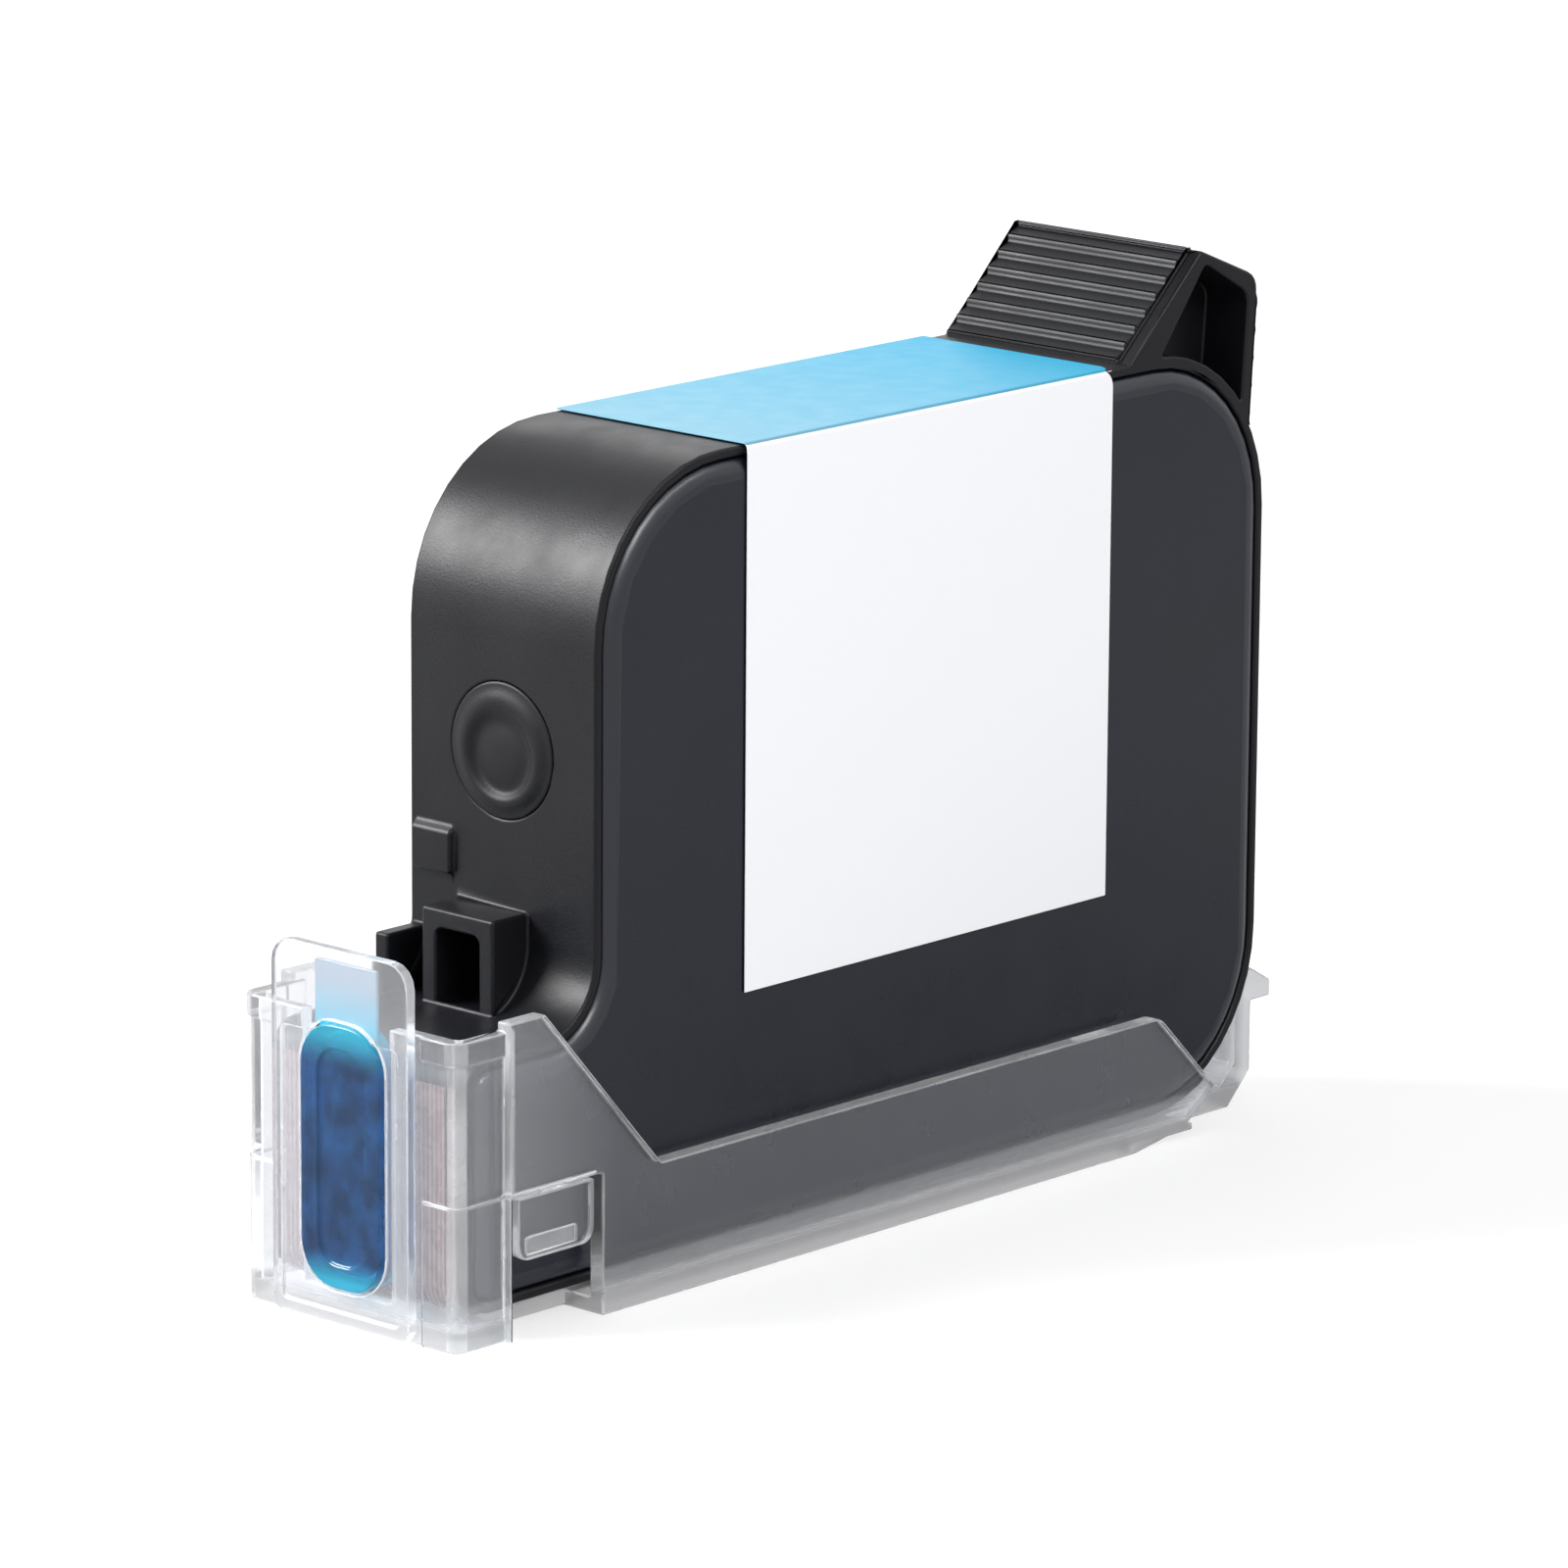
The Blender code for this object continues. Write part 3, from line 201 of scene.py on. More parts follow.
class Finish:
    """A surface finish: one Principled shader and the patterns that vary it, sized in millimetres."""

    def __init__(self, name, colour, roughness, values=None):
        self.material = bpy.data.materials.new(name)
        self.material.use_nodes = True
        self.nodes = self.material.node_tree.nodes
        self.links = self.material.node_tree.links
        self.shader = self.nodes["Principled BSDF"]
        self.output = self.nodes["Material Output"]
        self.colour = colour
        self.shader.inputs["Base Color"].default_value = (*colour, 1.0)
        self.shader.inputs["Roughness"].default_value = roughness
        for label, value in (values or {}).items():
            self.shader.inputs[label].default_value = value

    def link(self, start, end):
        self.links.new(start, end)

    def place(self, stretch=(1.0, 1.0, 1.0)):
        """Where a point of the piece lies, in millimetres."""
        where = self.nodes.new("ShaderNodeTexCoord")
        scale = self.nodes.new("ShaderNodeMapping")
        scale.inputs["Scale"].default_value = [PER_MM * share for share in stretch]
        self.link(where.outputs["Object"], scale.inputs["Vector"])
        return scale.outputs["Vector"]

    def patches(self, size, stretch=(1.0, 1.0, 1.0), detail=2.0):
        """A soft random pattern with patches about so many millimetres wide."""
        noise = self.nodes.new("ShaderNodeTexNoise")
        noise.inputs["Scale"].default_value = 1.0 / size
        noise.inputs["Detail"].default_value = detail
        self.link(self.place(stretch), noise.inputs["Vector"])
        return noise.outputs["Fac"]

    def grains(self, size):
        """A pattern of cells, as spark-eroded mould texture has."""
        cells = self.nodes.new("ShaderNodeTexVoronoi")
        cells.inputs["Scale"].default_value = 1.0 / size
        self.link(self.place(), cells.inputs["Vector"])
        return cells.outputs["Distance"]

    def bands(self, size, axis):
        """Straight bands that repeat every so many millimetres along an axis."""
        wave = self.nodes.new("ShaderNodeTexWave")
        wave.bands_direction = axis
        wave.inputs["Scale"].default_value = math.pi / (10.0 * size)
        self.link(self.place(), wave.inputs["Vector"])
        return wave.outputs["Fac"]

    def along(self, axis):
        """Where a point lies along X, Y or Z, in millimetres; Z is its height above the floor."""
        split = self.nodes.new("ShaderNodeSeparateXYZ")
        self.link(self.place(), split.inputs["Vector"])
        return split.outputs[axis]

    def pick(self, operation, *patterns):
        """The least or the greatest of several patterns."""
        chosen = patterns[0]
        for pattern in patterns[1:]:
            both = self.nodes.new("ShaderNodeMath")
            both.operation = operation
            self.link(chosen, both.inputs[0])
            self.link(pattern, both.inputs[1])
            chosen = both.outputs["Value"]
        return chosen

    def spread(self, pattern, low, high, start=NOISE_LOW, end=NOISE_HIGH):
        """Turns a pattern into a number between low and high."""
        rescale = self.nodes.new("ShaderNodeMapRange")
        rescale.inputs["From Min"].default_value = start
        rescale.inputs["From Max"].default_value = end
        rescale.inputs["To Min"].default_value = low
        rescale.inputs["To Max"].default_value = high
        self.link(pattern, rescale.inputs["Value"])
        return rescale.outputs["Result"]

    def vary(self, label, pattern, low, high, start=NOISE_LOW, end=NOISE_HIGH):
        """Lets a pattern move one of the shader's numbers between low and high."""
        self.link(self.spread(pattern, low, high, start, end), self.shader.inputs[label])

    def tint(self, pattern, first, second, start=NOISE_LOW, end=NOISE_HIGH):
        """Lets a pattern move the colour from the first, or from what it already is, to the second."""
        mix = self.nodes.new("ShaderNodeMix")
        mix.data_type = "RGBA"
        colour = self.shader.inputs["Base Color"]
        if first is None:
            self.link(colour.links[0].from_socket, mix.inputs[MIX_FIRST])
        else:
            mix.inputs[MIX_FIRST].default_value = (*first, 1.0)
        mix.inputs[MIX_SECOND].default_value = (*second, 1.0)
        self.link(self.spread(pattern, 0.0, 1.0, start, end), mix.inputs["Factor"])
        self.link(mix.outputs[MIX_RESULT], colour)

    def mottle(self, size, share):
        """Varies the finish's own colour by a share, in patches."""
        darker = [part * (1.0 - share) for part in self.colour]
        lighter = [part * (1.0 + share) for part in self.colour]
        self.tint(self.patches(size), darker, lighter)

    def relief(self, pattern, depth):
        """Adds the pattern's relief, so many millimetres deep, over any relief before it."""
        bump = self.nodes.new("ShaderNodeBump")
        bump.inputs["Strength"].default_value = 1.0
        bump.inputs["Distance"].default_value = depth * MM
        self.link(pattern, bump.inputs["Height"])
        normal = self.shader.inputs["Normal"]
        if normal.is_linked:
            self.link(normal.links[0].from_socket, bump.inputs["Normal"])
        self.link(bump.outputs["Normal"], normal)

    def pass_lamps(self, colour):
        """Lets lamp light through the piece, so that what it covers is lit."""
        rays = self.nodes.new("ShaderNodeLightPath")
        gap = self.nodes.new("ShaderNodeBsdfTransparent")
        gap.inputs["Color"].default_value = (*colour, 1.0)
        mix = self.nodes.new("ShaderNodeMixShader")
        self.link(rays.outputs["Is Shadow Ray"], mix.inputs["Fac"])
        self.link(self.shader.outputs["BSDF"], mix.inputs[1])
        self.link(gap.outputs["BSDF"], mix.inputs[2])
        self.link(mix.outputs["Shader"], self.output.inputs["Surface"])


def black_plastic(name, colour, roughness, gloss, grain, depth):
    """Black moulded plastic with a fine eroded texture and a faint unevenness of gloss."""
    finish = Finish(name, colour, roughness, {"Specular IOR Level": gloss})
    finish.mottle(11.0, 0.12)
    finish.vary("Roughness", finish.patches(6.0, detail=4.0), roughness - 0.04, roughness + 0.05)
    finish.relief(finish.patches(14.0), 0.006)
    finish.relief(finish.patches(grain, detail=3.0), depth)
    return finish.material


def clear_plastic(name, colour, foot_shade_grey):
    """Clear moulded plastic: polished walls, cloudier at both thick ends, with a frosted foot that painted
    shade greys towards the floor.
    """
    # The blue specular tint paints a bluish cast into the clear plastic's reflections.
    values = {"Transmission Weight": 1.0, "IOR": CLEAR_IOR, "Specular Tint": (0.86, 0.9, 1.0, 1.0)}
    finish = Finish(name, colour, 0.05, values)
    height = finish.along("Z")
    foot = finish.spread(height, 0.5, 1.0, *FOOT_FROST_AND_SHADE)
    fillet = finish.spread(height, 0.87, 1.0, *FILLET_FROST)
    length = finish.along("X")
    pocket = finish.spread(length, 0.93, 0.985, *POCKET_CLOUD)
    tail = finish.spread(length, 1.0, 0.35, *TAIL_CLOUD)
    clearness = finish.pick("MINIMUM", foot, fillet, pocket, tail)
    finish.link(clearness, finish.shader.inputs["Transmission Weight"])
    polish = finish.spread(finish.patches(5.0, detail=4.0), 0.03, 0.09)
    frost = finish.spread(height, 0.4, 0.03, *FOOT_FROST_AND_SHADE)
    finish.link(finish.pick("MAXIMUM", polish, frost), finish.shader.inputs["Roughness"])
    # Painted shade: the colour greys towards the bottom of the foot.
    finish.tint(height, colour, foot_shade_grey, *reversed(FOOT_FROST_AND_SHADE))
    finish.relief(finish.patches(7.0), 0.03)
    finish.pass_lamps((0.93, 0.935, 0.94))
    return finish.material


def clear_edge_highlight(name, colour):
    """The edges of a clear moulding: rougher where the tool's polish ends, and whiter and cloudier as a
    painted highlight.
    """
    values = {"Transmission Weight": 0.75, "IOR": CLEAR_IOR}
    finish = Finish(name, colour, 0.25, values)
    finish.vary("Transmission Weight", finish.patches(9.0), 0.68, 0.82)
    finish.vary("Roughness", finish.patches(6.0), 0.16, 0.28)
    finish.relief(finish.patches(4.0), 0.01)
    finish.pass_lamps((0.8, 0.805, 0.81))
    return finish.material


def seal_rubber(name, deep, painted_glow, pale, low, high):
    """Translucent blue elastomer: deep blue in its middle, brightened towards both ends by painted glow,
    pale in its thin tongue.
    """
    values = {"Transmission Weight": 0.8, "IOR": 1.43, "Specular IOR Level": 0.5}
    finish = Finish(name, deep, 0.14, values)
    height = finish.along("Z")
    finish.mottle(2.6, 0.4)
    top = [high - depth for depth in SEAL_TOP_GLOW_FADE]
    foot = [low + rise for rise in SEAL_FOOT_GLOW_FADE]
    # Painted glow: the colour brightens towards the top and the foot.
    finish.tint(height, None, painted_glow, *top)
    finish.tint(height, None, painted_glow, *reversed(foot))
    finish.tint(height, None, pale, high - SEAL_TONGUE_FADE[0], high + SEAL_TONGUE_FADE[1])
    cloud_above = finish.spread(height, 0.8, 0.45, *top)
    cloud_below = finish.spread(height, 0.45, 0.8, *foot)
    clearness = finish.pick("MINIMUM", cloud_above, cloud_below)
    finish.link(clearness, finish.shader.inputs["Transmission Weight"])
    finish.vary("Roughness", finish.patches(2.0, detail=3.0), 0.1, 0.2)
    finish.relief(finish.patches(2.5), 0.02)
    finish.pass_lamps([0.5 + 0.4 * part for part in painted_glow])
    return finish.material


def label_paper(name, side, pale, strong, fold_height, start, end):
    """Coated label stock: white on the side, and above the fold a blue that deepens towards the handle."""
    finish = Finish(name, side, 0.42, {"Specular IOR Level": 0.16})
    finish.tint(finish.along("X"), pale, strong, start, end)
    finish.tint(finish.along("Z"), None, side, fold_height + 0.01, fold_height - 0.01)
    finish.vary("Roughness", finish.patches(3.0, detail=4.0), 0.38, 0.46)
    finish.relief(finish.patches(9.0), 0.012)
    finish.relief(finish.patches(0.12, detail=2.0), 0.0015)
    return finish.material


def amber_film(name, colour, copper):
    """Amber polyimide film over fine copper tracks."""
    finish = Finish(name, colour, 0.25, {"Coat Weight": 0.6, "Coat Roughness": 0.08})
    tracks = finish.bands(0.55, "Y")
    finish.tint(tracks, colour, copper, 0.55, 0.75)
    finish.relief(tracks, 0.01)
    finish.vary("Roughness", finish.patches(1.5), 0.2, 0.34)
    return finish.material


def rolled_steel(name, colour, roughness, direction):
    """Bright rolled strip with its rolling lines along one direction."""
    finish = Finish(name, colour, roughness, {"Metallic": 1.0})
    lines = finish.patches(0.12, direction, 3.0)
    finish.vary("Roughness", lines, roughness - 0.08, roughness + 0.1)
    finish.mottle(8.0, 0.06)
    finish.relief(lines, 0.002)
    return finish.material


def woven_steel(name, colour):
    """Fine woven wire cloth."""
    finish = Finish(name, colour, 0.35, {"Metallic": 1.0})
    finish.tint(finish.bands(0.1, "Y"), [part * 0.4 for part in colour], colour)
    finish.relief(finish.bands(0.1, "Y"), 0.03)
    finish.relief(finish.bands(0.1, "Z"), 0.03)
    return finish.material


def bag_film(name, colour):
    """Metallised film with soft creases."""
    finish = Finish(name, colour, 0.22, {"Metallic": 0.85})
    finish.mottle(10.0, 0.08)
    finish.vary("Roughness", finish.patches(4.0, detail=3.0), 0.16, 0.32)
    finish.relief(finish.patches(6.0, (1.0, 1.0, 0.4), 4.0), 0.15)
    finish.relief(finish.patches(0.5), 0.004)
    return finish.material


def natural_polymer(name, colour):
    """Unpigmented moulded polymer, slightly milky."""
    values = {"Subsurface Weight": 0.15, "Subsurface Scale": 0.8 * MM, "Specular IOR Level": 0.4}
    finish = Finish(name, colour, 0.42, values)
    finish.mottle(9.0, 0.03)
    finish.vary("Roughness", finish.patches(2.5, detail=3.0), 0.36, 0.5)
    finish.relief(finish.patches(0.3, detail=3.0), 0.004)
    return finish.material


def plated_foil(name, colour):
    """Gold-plated nozzle foil with its two rows of fine holes."""
    finish = Finish(name, colour, 0.24, {"Metallic": 1.0})
    holes = finish.grains(0.17)
    finish.tint(holes, [part * 0.25 for part in colour], colour, 0.05, 0.2)
    finish.vary("Roughness", finish.patches(1.2), 0.18, 0.32)
    finish.relief(finish.patches(0.25, detail=3.0), 0.002)
    return finish.material


def sawn_silicon(name, colour):
    """Grey silicon with fine saw lines."""
    finish = Finish(name, colour, 0.2, {"Metallic": 0.6})
    lines = finish.patches(0.08, (1.0, 1.0, 0.05), 2.0)
    finish.tint(lines, [part * 0.8 for part in colour], colour)
    finish.vary("Roughness", lines, 0.14, 0.3)
    finish.relief(lines, 0.001)
    return finish.material


def bead_resin(name, colour):
    """Glossy cured resin with a wet, uneven skin."""
    finish = Finish(name, colour, 0.12, {"Coat Weight": 0.5, "Coat Roughness": 0.05})
    finish.mottle(1.0, 0.2)
    finish.vary("Roughness", finish.patches(0.6), 0.08, 0.2)
    finish.relief(finish.patches(0.9), 0.03)
    return finish.material


# Settings


def colour_setting(name, description, default):
    """A colour that a user can change."""
    return FloatVectorProperty(
        name=name, description=description, default=default, subtype="COLOR", min=0.0, max=1.0
    )


def length_setting(name, description, default):
    """A length that a user can change."""
    return FloatProperty(
        name=name, description=description, default=default, unit="LENGTH", min=0.0
    )


class CartridgeColours(bpy.types.PropertyGroup):
    """The colours of the cartridge, its clip and its seal."""

    body: colour_setting(
        "Body", "Pigment of the frame moulding and its plug", (0.0048, 0.005, 0.007)
    )
    cover: colour_setting("Covers", "Pigment of the two side covers", (0.0028, 0.0045, 0.0115))
    label_side: colour_setting("Label side", "Side panel of the label", (0.85, 0.855, 0.88))
    label_pale: colour_setting("Label top", "Top panel of the label", (0.145, 0.35, 0.46))
    label_strong: colour_setting(
        "Label end", "Top panel of the label at the handle", (0.02, 0.3, 0.48)
    )
    clip: colour_setting("Clip", "Tint of the clear clip", (0.83, 0.835, 0.855))
    # Clip edges: whiter colour for the clip's edges, a painted highlight.
    clip_edge: colour_setting("Clip edges", "Lit edges of the clear clip", (0.78, 0.785, 0.8))
    # Clip foot: grey painted shade at the clip's frosted foot.
    clip_foot_shade: colour_setting("Clip foot", "Frosted foot of the clear clip", (0.5, 0.5, 0.51))
    # Seal: the seal's deep blue, used through its middle.
    seal_deep: colour_setting("Seal", "Nozzle seal where it is thick", (0.02, 0.12, 0.32))
    # Seal ends: painted glow that brightens the seal towards both ends.
    seal_painted_glow: colour_setting("Seal ends", "Nozzle seal at its ends", (0.025, 0.36, 0.5))
    seal_pale: colour_setting("Seal tongue", "Thin tongue of the nozzle seal", (0.26, 0.33, 0.4))
    film: colour_setting("Film", "Amber of the flexible circuit", (0.09, 0.06, 0.065))
    copper: colour_setting("Copper", "Tracks of the flexible circuit", (0.2, 0.125, 0.12))
    polymer: colour_setting("Ink frame", "Unpigmented inner frame", (0.78, 0.78, 0.73))
    steel: colour_setting("Steel", "Spring, plates and filter", (0.62, 0.62, 0.63))
    foil: colour_setting("Nozzle foil", "Plating of the nozzle plate", (0.75, 0.55, 0.24))
    silicon: colour_setting("Silicon", "Die behind the nozzle plate", (0.24, 0.24, 0.28))
    resin: colour_setting("Resin", "Beads at the ends of the die", (0.02, 0.018, 0.016))


class CartridgeSizes(bpy.types.PropertyGroup):
    """The radii that the mould leaves on each piece's edges."""

    frame_edge: length_setting("Frame edge", "Edge radius of the frame moulding", 0.3 * MM)
    cover_edge: length_setting("Cover edge", "Edge radius of the side covers", 0.1 * MM)
    label_edge: length_setting("Label edge", "Edge radius of the label stock", 0.05 * MM)
    clip_edge: length_setting("Clip edge", "Edge radius of the clip and latches", 0.2 * MM)
    plate_edge: length_setting("Seal plate edge", "Edge radius of the seal plate", 0.14 * MM)
    seal_edge: length_setting("Seal edge", "Edge radius of the nozzle seal", 0.2 * MM)
    film_edge: length_setting("Film edge", "Edge radius of the flexible circuit", 0.05 * MM)


class StudioSettings(bpy.types.PropertyGroup):
    """The camera and the lights."""

    aim: FloatVectorProperty(
        name="Aim",
        description="The point that the camera looks at",
        default=(-0.907 * MM, -0.074 * MM, 40.649 * MM),
        subtype="TRANSLATION",
        unit="LENGTH",
    )
    azimuth: FloatProperty(
        name="Azimuth",
        description="Turn of the camera round the cartridge",
        default=math.radians(-47.479),
        subtype="ANGLE",
    )
    elevation: FloatProperty(
        name="Elevation",
        description="Height angle of the camera",
        default=math.radians(13.4545),
        subtype="ANGLE",
    )
    roll: FloatProperty(
        name="Roll",
        description="Tilt of the camera about its own line of sight",
        default=math.radians(0.3788),
        subtype="ANGLE",
    )
    distance: length_setting("Distance", "From the aim to the camera", 831.8 * MM)
    lens: FloatProperty(
        name="Lens", description="Focal length", default=202.5, unit="CAMERA", min=1.0
    )
    sky: FloatProperty(
        name="Sky", description="Strength of the even light from all round", default=0.5, min=0.0
    )
    lamps: FloatProperty(
        name="Lamps", description="Strength of all the soft boxes together", default=1.0, min=0.0
    )


# Pieces

PLUG_SIDES = 72
PLUG_PROFILE = (
    # (share of the plug's radius, millimetres below the crown, shift of the centre in millimetres)
    (1.045, 0.84, 0.0),
    (1.04, 0.8, 0.0),
    (1.0, 0.78, 0.0),
    (0.95, 0.72, -0.02),
    (0.9, 0.62, -0.06),
    (0.86, 0.52, -0.1),
    (0.81, 0.44, -0.14),
    (0.76, 0.4, -0.18),
    (0.71, 0.43, -0.24),
    (0.67, 0.52, -0.3),
    (0.63, 0.66, -0.36),
    (0.59, 0.8, -0.42),
    (0.55, 0.88, -0.48),
    (0.5, 0.9, -0.52),
    (0.44, 0.86, -0.56),
    (0.36, 0.78, -0.6),
    (0.26, 0.7, -0.63),
    (0.14, 0.66, -0.65),
    (0.02, 0.65, -0.66),
)


class CARTRIDGE_OT_body(bpy.types.Operator):
    """Finish the frame moulding and the fill plug pressed into its end wall"""

    bl_idname = "cartridge.body"
    bl_label = "Frame moulding"

    def execute(self, context):
        sizes, colours = context.scene.cartridge_sizes, context.scene.cartridge_colours
        plastic = black_plastic("textured_black_plastic", colours.body, 0.41, 0.23, 0.24, 0.016)
        plug_plastic = black_plastic("plug_black_plastic", colours.body, 0.42, 0.22, 0.3, 0.012)
        moulded_piece("frame_moulding", "pen_frame", sizes.frame_edge, plastic)
        low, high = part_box("fill_plug")
        radius, centre = (high.z - low.z) / 2, (high.z + low.z) / 2
        rings = [
            (radius * share, low.x + depth * MM, centre + drop * MM)
            for share, depth, drop in PLUG_PROFILE
        ]
        rings.insert(0, (rings[0][0], high.x, centre))
        plug = linked_object("pressed_plug", turned_mesh("pressed_plug", rings, PLUG_SIDES))
        plug.data.materials.append(plug_plastic)
        stand_for(plug, "fill_plug")
        return {"FINISHED"}


class CARTRIDGE_OT_covers(bpy.types.Operator):
    """Finish the two side covers"""

    bl_idname = "cartridge.covers"
    bl_label = "Side covers"

    def execute(self, context):
        sizes, colours = context.scene.cartridge_sizes, context.scene.cartridge_colours
        plastic = black_plastic("smooth_black_plastic", colours.cover, 0.3, 0.45, 0.2, 0.002)
        # The rolled edges take a glossier copy of the finish, a painted highlight that brightens them.
        edge = black_plastic("highlight_black_edge", colours.cover, 0.3, 0.65, 0.2, 0.002)
        for side in ("front", "rear"):
            node = "side_cover_" + side
            name = "cover_plate_" + side
            moulded_piece(name, node, sizes.cover_edge, plastic, edge_material=edge)
        return {"FINISHED"}


class CARTRIDGE_OT_ink_system(bpy.types.Operator):
    """Finish the inner frame, the ink bag's films, its plates and spring, and the filter"""

    bl_idname = "cartridge.ink_system"
    bl_label = "Ink system"

    def execute(self, context):
        colours = context.scene.cartridge_colours
        finish_node("inner_frame", natural_polymer("natural_polymer", colours.polymer))
        film = bag_film("metallised_film", colours.steel)
        steel = rolled_steel("rolled_strip", colours.steel, 0.26, ROLLING_LINES)
        for side in ("front", "rear"):
            finish_node("ink_film_" + side, film)
            finish_node("pressure_plate_" + side, steel)
        finish_node("bow_spring", rolled_steel("spring_strip", colours.steel, 0.2, ROLLING_LINES))
        finish_node("ink_filter", woven_steel("wire_cloth", colours.steel))
        return {"FINISHED"}


class CARTRIDGE_OT_print_head(bpy.types.Operator):
    """Finish the die, the nozzle plate, its resin beads and the flexible circuit"""

    bl_idname = "cartridge.print_head"
    bl_label = "Print head"

    def execute(self, context):
        sizes, colours = context.scene.cartridge_sizes, context.scene.cartridge_colours
        film = amber_film("amber_film", colours.film, colours.copper)
        moulded_piece("flexible_circuit", "flex_circuit", sizes.film_edge, film, segments=1)
        finish_node("nozzle_plate", plated_foil("plated_foil", colours.foil))
        finish_node("printhead_die", sawn_silicon("sawn_silicon", colours.silicon))
        resin = bead_resin("cured_resin", colours.resin)
        finish_node("bead_lower", resin)
        finish_node("bead_upper", resin)
        return {"FINISHED"}


class CARTRIDGE_OT_label(bpy.types.Operator):
    """Finish the blank label that folds over the top of the cartridge"""

    bl_idname = "cartridge.label"
    bl_label = "Label"

    def execute(self, context):
        sizes, colours = context.scene.cartridge_sizes, context.scene.cartridge_colours
        low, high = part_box("label")
        side, pale, strong = colours.label_side, colours.label_pale, colours.label_strong
        ends = (low.x * PER_MM, high.x * PER_MM)
        fold_height = high.z * PER_MM - LABEL_FOLD_DROP
        paper = label_paper("coated_label", side, pale, strong, fold_height, *ends)
        moulded_piece("blank_label", "label", sizes.label_edge, paper, segments=1)
        return {"FINISHED"}


class CARTRIDGE_OT_clip(bpy.types.Operator):
    """Finish the clear clip and its two side latches"""

    bl_idname = "cartridge.clip"
    bl_label = "Storage clip"

    def execute(self, context):
        sizes, colours = context.scene.cartridge_sizes, context.scene.cartridge_colours
        plastic = clear_plastic("clear_moulding", colours.clip, colours.clip_foot_shade)
        # The edges take a whiter, cloudier copy of the finish, a painted highlight.
        edge = clear_edge_highlight("clear_moulding_edge_highlight", colours.clip_edge)
        radius = sizes.clip_edge
        moulded_piece("clear_clip", "clip_shell", radius, plastic, edge_material=edge)
        for side in ("front", "rear"):
            name, node = "clip_latch_" + side, "latch_" + side
            moulded_piece(name, node, radius, plastic, edge_material=edge)
        return {"FINISHED"}


class CARTRIDGE_OT_seal(bpy.types.Operator):
    """Finish the clear pull plate and the blue seal that it presses on the nozzles"""

    bl_idname = "cartridge.seal"
    bl_label = "Nozzle seal"

    def execute(self, context):
        sizes, colours = context.scene.cartridge_sizes, context.scene.cartridge_colours
        plastic = clear_plastic("clear_plate", colours.clip, colours.clip_foot_shade)
        # The edges take a whiter, cloudier copy of the finish, a painted highlight.
        edge = clear_edge_highlight("clear_plate_edge_highlight", colours.clip_edge)
        lit = {"edge_material": edge, "narrow": PLATE_NARROW_FACE}
        moulded_piece("pull_plate", "seal_carrier", sizes.plate_edge, plastic, **lit)
        low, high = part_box("nozzle_seal")
        ends = (low.z * PER_MM, high.z * PER_MM - SEAL_TONGUE_REACH)
        shades = (colours.seal_deep, colours.seal_painted_glow, colours.seal_pale)
        rubber = seal_rubber("seal_rubber", *shades, *ends)
        moulded_piece("rubber_seal", "nozzle_seal", sizes.seal_edge, rubber)
        return {"FINISHED"}


# Studio

FLOOR_REACH = 5.0
FLOOR_COLOUR = (0.5, 0.5, 0.5)
FLOOR_GLOW = 0.5
SOFT_BOXES = {
    # name: (direction from the cartridge, distance, width, height, watts)
    "front_box": ((-0.2, -0.75, 0.6), 1.3, 0.55, 0.5, 7.0),
    "strip_box": ((0.16, -0.66, 0.62), 1.3, 1.2, 0.2, 4.0),
    "top_box": ((0.1, 0.15, 1.0), 1.2, 0.7, 0.7, 0.5),
    "roll_box": ((-0.64, 0.64, 0.5), 1.0, 0.55, 0.42, 19.0),
    "edge_box": ((0.6, 0.66, 0.46), 1.0, 0.3, 0.3, 0.5),
}


def white_sky(strength):
    """A world that lights the object evenly and looks white to the eye, in gloss and through clear parts."""
    world = bpy.data.worlds.new("white_sky")
    world.use_nodes = True
    nodes, links = world.node_tree.nodes, world.node_tree.links
    sky = nodes["Background"]
    sky.inputs["Color"].default_value = (1.0, 1.0, 1.0, 1.0)
    seen = seen_rays(nodes, links, ("Camera", "Glossy", "Transmission"), strength, 1.0)
    links.new(seen, sky.inputs["Strength"])
    bpy.context.scene.world = world


def seen_rays(nodes, links, kinds, otherwise, seen):
    """A number that is one value for the kinds of ray named, and another for all others."""
    rays = nodes.new("ShaderNodeLightPath")
    largest = rays.outputs[f"Is {kinds[0]} Ray"]
    for kind in kinds[1:]:
        either = nodes.new("ShaderNodeMath")
        either.operation = "MAXIMUM"
        links.new(largest, either.inputs[0])
        links.new(rays.outputs[f"Is {kind} Ray"], either.inputs[1])
        largest = either.outputs["Value"]
    choice = nodes.new("ShaderNodeMapRange")
    choice.inputs["To Min"].default_value = otherwise
    choice.inputs["To Max"].default_value = seen
    links.new(largest, choice.inputs["Value"])
    return choice.outputs["Result"]


def white_floor():
    """A wide pale floor that glows a little to the eye and keeps the object's shadow."""
    reach = FLOOR_REACH
    corners = [(-reach, -reach, 0.0), (reach, -reach, 0.0), (reach, reach, 0.0), (-reach, reach, 0.0)]
    mesh = bpy.data.meshes.new("studio_floor")
    mesh.from_pydata(corners, [], [(0, 1, 2, 3)])
    floor = linked_object("studio_floor", mesh)
    finish = Finish("floor_paint", FLOOR_COLOUR, 0.9, {"Specular IOR Level": 0.0})
    finish.shader.inputs["Emission Color"].default_value = (1.0, 1.0, 1.0, 1.0)
    glow = seen_rays(finish.nodes, finish.links, ("Camera", "Transmission"), 0.0, FLOOR_GLOW)
    finish.link(glow, finish.shader.inputs["Emission Strength"])
    mesh.materials.append(finish.material)


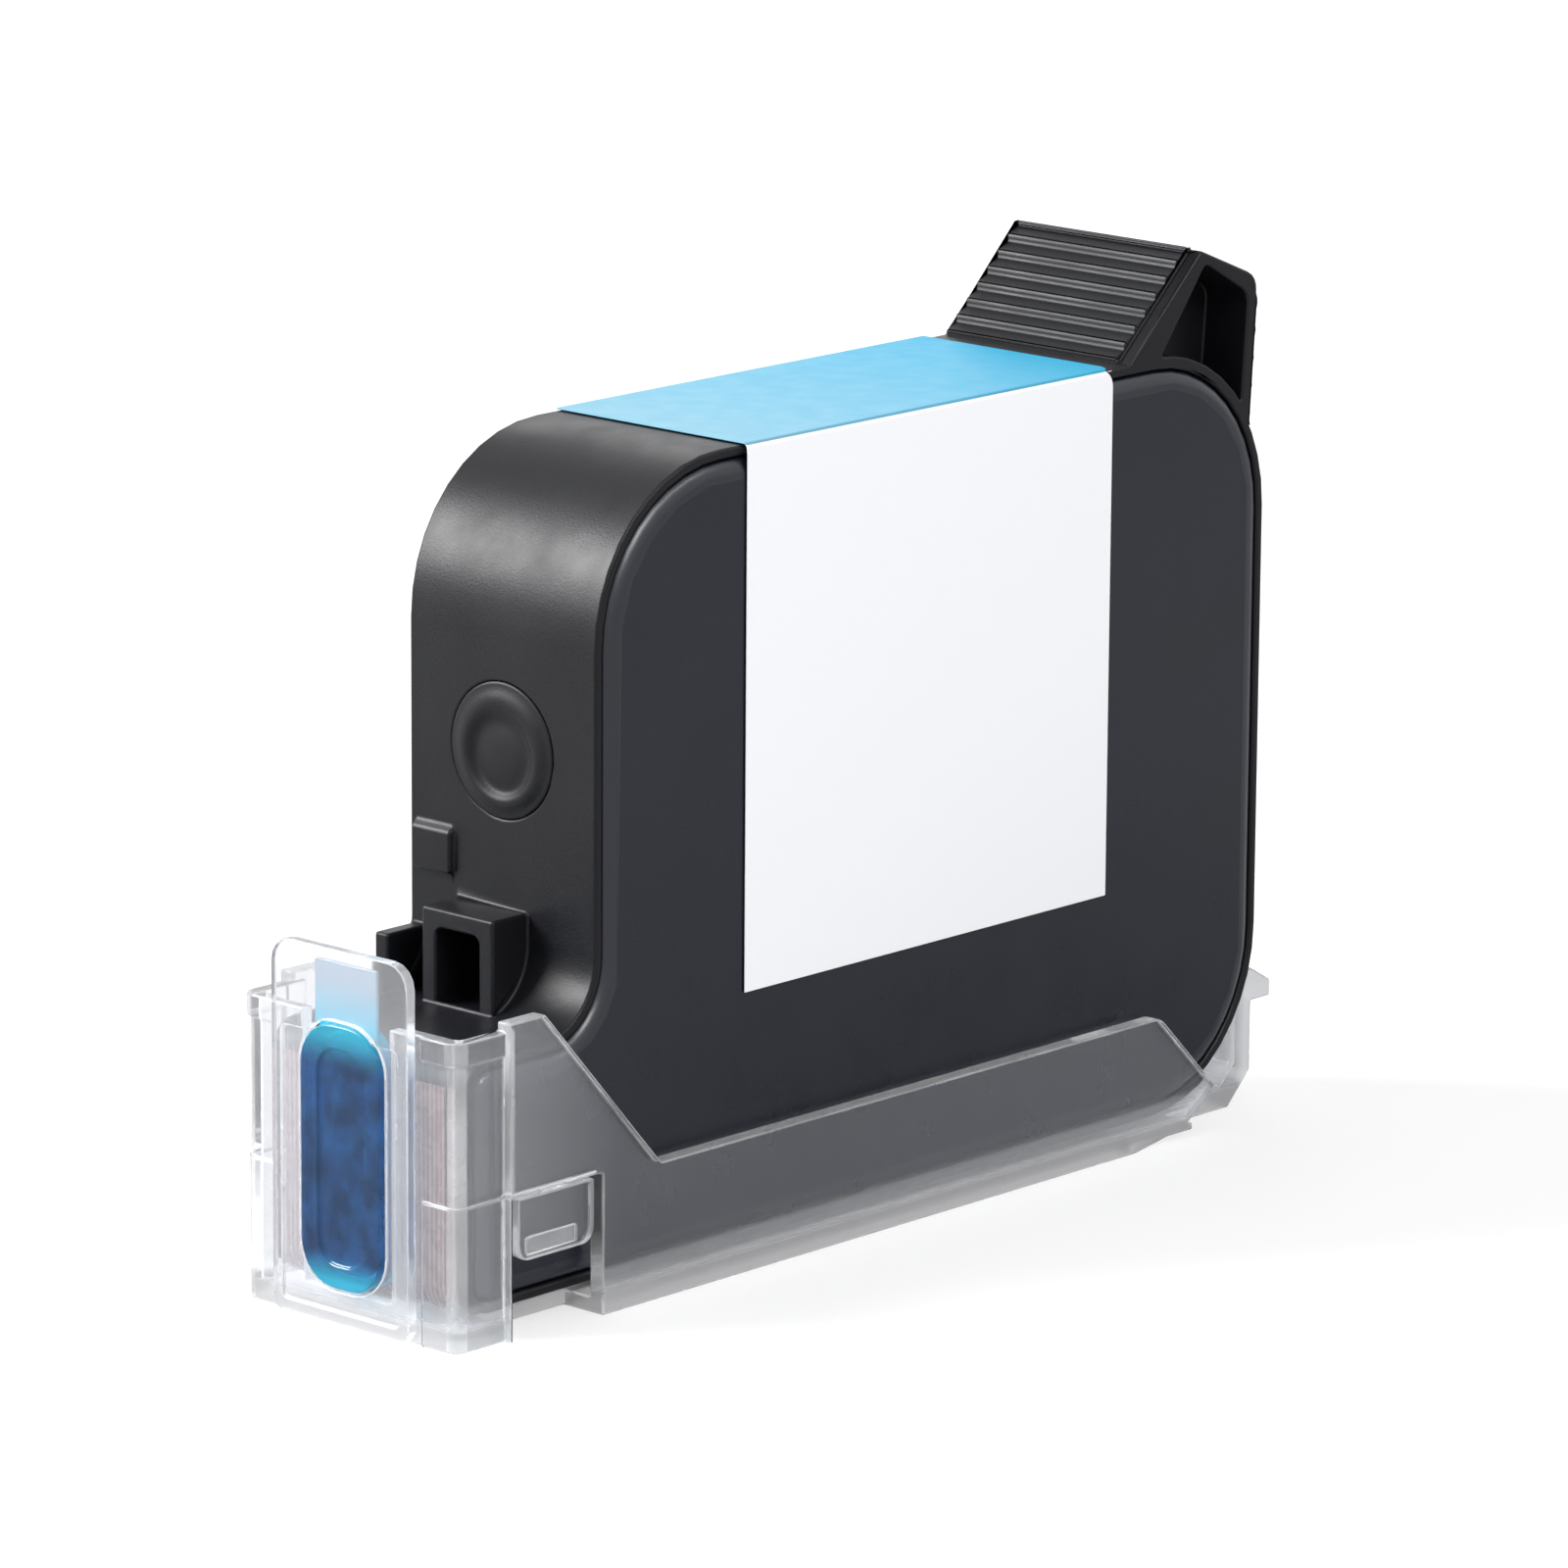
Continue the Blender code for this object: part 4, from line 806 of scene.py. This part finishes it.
def soft_box(name, direction, distance, width, height, watts, aim):
    """A rectangular lamp that faces the aim."""
    lamp = bpy.data.lights.new(name, "AREA")
    lamp.shape = "RECTANGLE"
    lamp.size = width
    lamp.size_y = height
    lamp.energy = watts
    stand = bpy.data.objects.new(name, lamp)
    away = Vector(direction).normalized()
    turn = (-away).to_track_quat("-Z", "Y").to_matrix().to_4x4()
    stand.matrix_world = Matrix.Translation(aim + away * distance) @ turn
    bpy.context.scene.collection.objects.link(stand)


def studio_camera(studio):
    """The camera, set by its angles round the aim."""
    level = math.cos(studio.elevation)
    back = Vector(
        (
            math.sin(studio.azimuth) * level,
            -math.cos(studio.azimuth) * level,
            math.sin(studio.elevation),
        )
    )
    lens = bpy.data.cameras.new("studio_camera")
    lens.lens = studio.lens
    camera = bpy.data.objects.new("studio_camera", lens)
    turn = back.to_track_quat("Z", "Y").to_matrix() @ Matrix.Rotation(studio.roll, 3, "Z")
    place = Vector(studio.aim) + back * studio.distance
    camera.matrix_world = Matrix.Translation(place) @ turn.to_4x4()
    bpy.context.scene.collection.objects.link(camera)
    bpy.context.scene.camera = camera


class CARTRIDGE_OT_studio(bpy.types.Operator):
    """Set up the pale floor, the soft light and the camera"""

    bl_idname = "cartridge.studio"
    bl_label = "Studio"

    def execute(self, context):
        studio = context.scene.cartridge_studio
        white_sky(studio.sky)
        white_floor()
        for name, (direction, distance, width, height, watts) in SOFT_BOXES.items():
            power = watts * studio.lamps
            soft_box(name, direction, distance, width, height, power, Vector(studio.aim))
        studio_camera(studio)
        context.scene.view_settings.view_transform = "Standard"
        return {"FINISHED"}


STEPS = (
    CARTRIDGE_OT_body,
    CARTRIDGE_OT_covers,
    CARTRIDGE_OT_ink_system,
    CARTRIDGE_OT_print_head,
    CARTRIDGE_OT_label,
    CARTRIDGE_OT_clip,
    CARTRIDGE_OT_seal,
    CARTRIDGE_OT_studio,
)


class CARTRIDGE_PT_panel(bpy.types.Panel):
    """Lists the steps that finish the cartridge, and its settings"""

    bl_idname = "CARTRIDGE_PT_panel"
    bl_label = "Print cartridge"
    bl_space_type = "VIEW_3D"
    bl_region_type = "UI"
    bl_category = "Cartridge"

    def draw(self, context):
        for step in STEPS:
            self.layout.operator(step.bl_idname)
        scene = context.scene
        for group in (scene.cartridge_colours, scene.cartridge_sizes, scene.cartridge_studio):
            box = self.layout.box()
            for setting in group.bl_rna.properties:
                if not setting.is_readonly and setting.identifier != "name":
                    box.prop(group, setting.identifier)


GROUPS = {
    "cartridge_colours": CartridgeColours,
    "cartridge_sizes": CartridgeSizes,
    "cartridge_studio": StudioSettings,
}
CLASSES = (*GROUPS.values(), *STEPS, CARTRIDGE_PT_panel)


def register():
    for item in CLASSES:
        bpy.utils.register_class(item)
    for name, group in GROUPS.items():
        setattr(bpy.types.Scene, name, PointerProperty(type=group))


def unregister():
    for name in GROUPS:
        delattr(bpy.types.Scene, name)
    for item in reversed(CLASSES):
        bpy.utils.unregister_class(item)


def main():
    """Finish every piece in order."""
    register()
    for step in STEPS:
        group, name = step.bl_idname.split(".")
        getattr(getattr(bpy.ops, group), name)()
    bpy.context.view_layer.update()


if __name__ == "__main__":
    main()
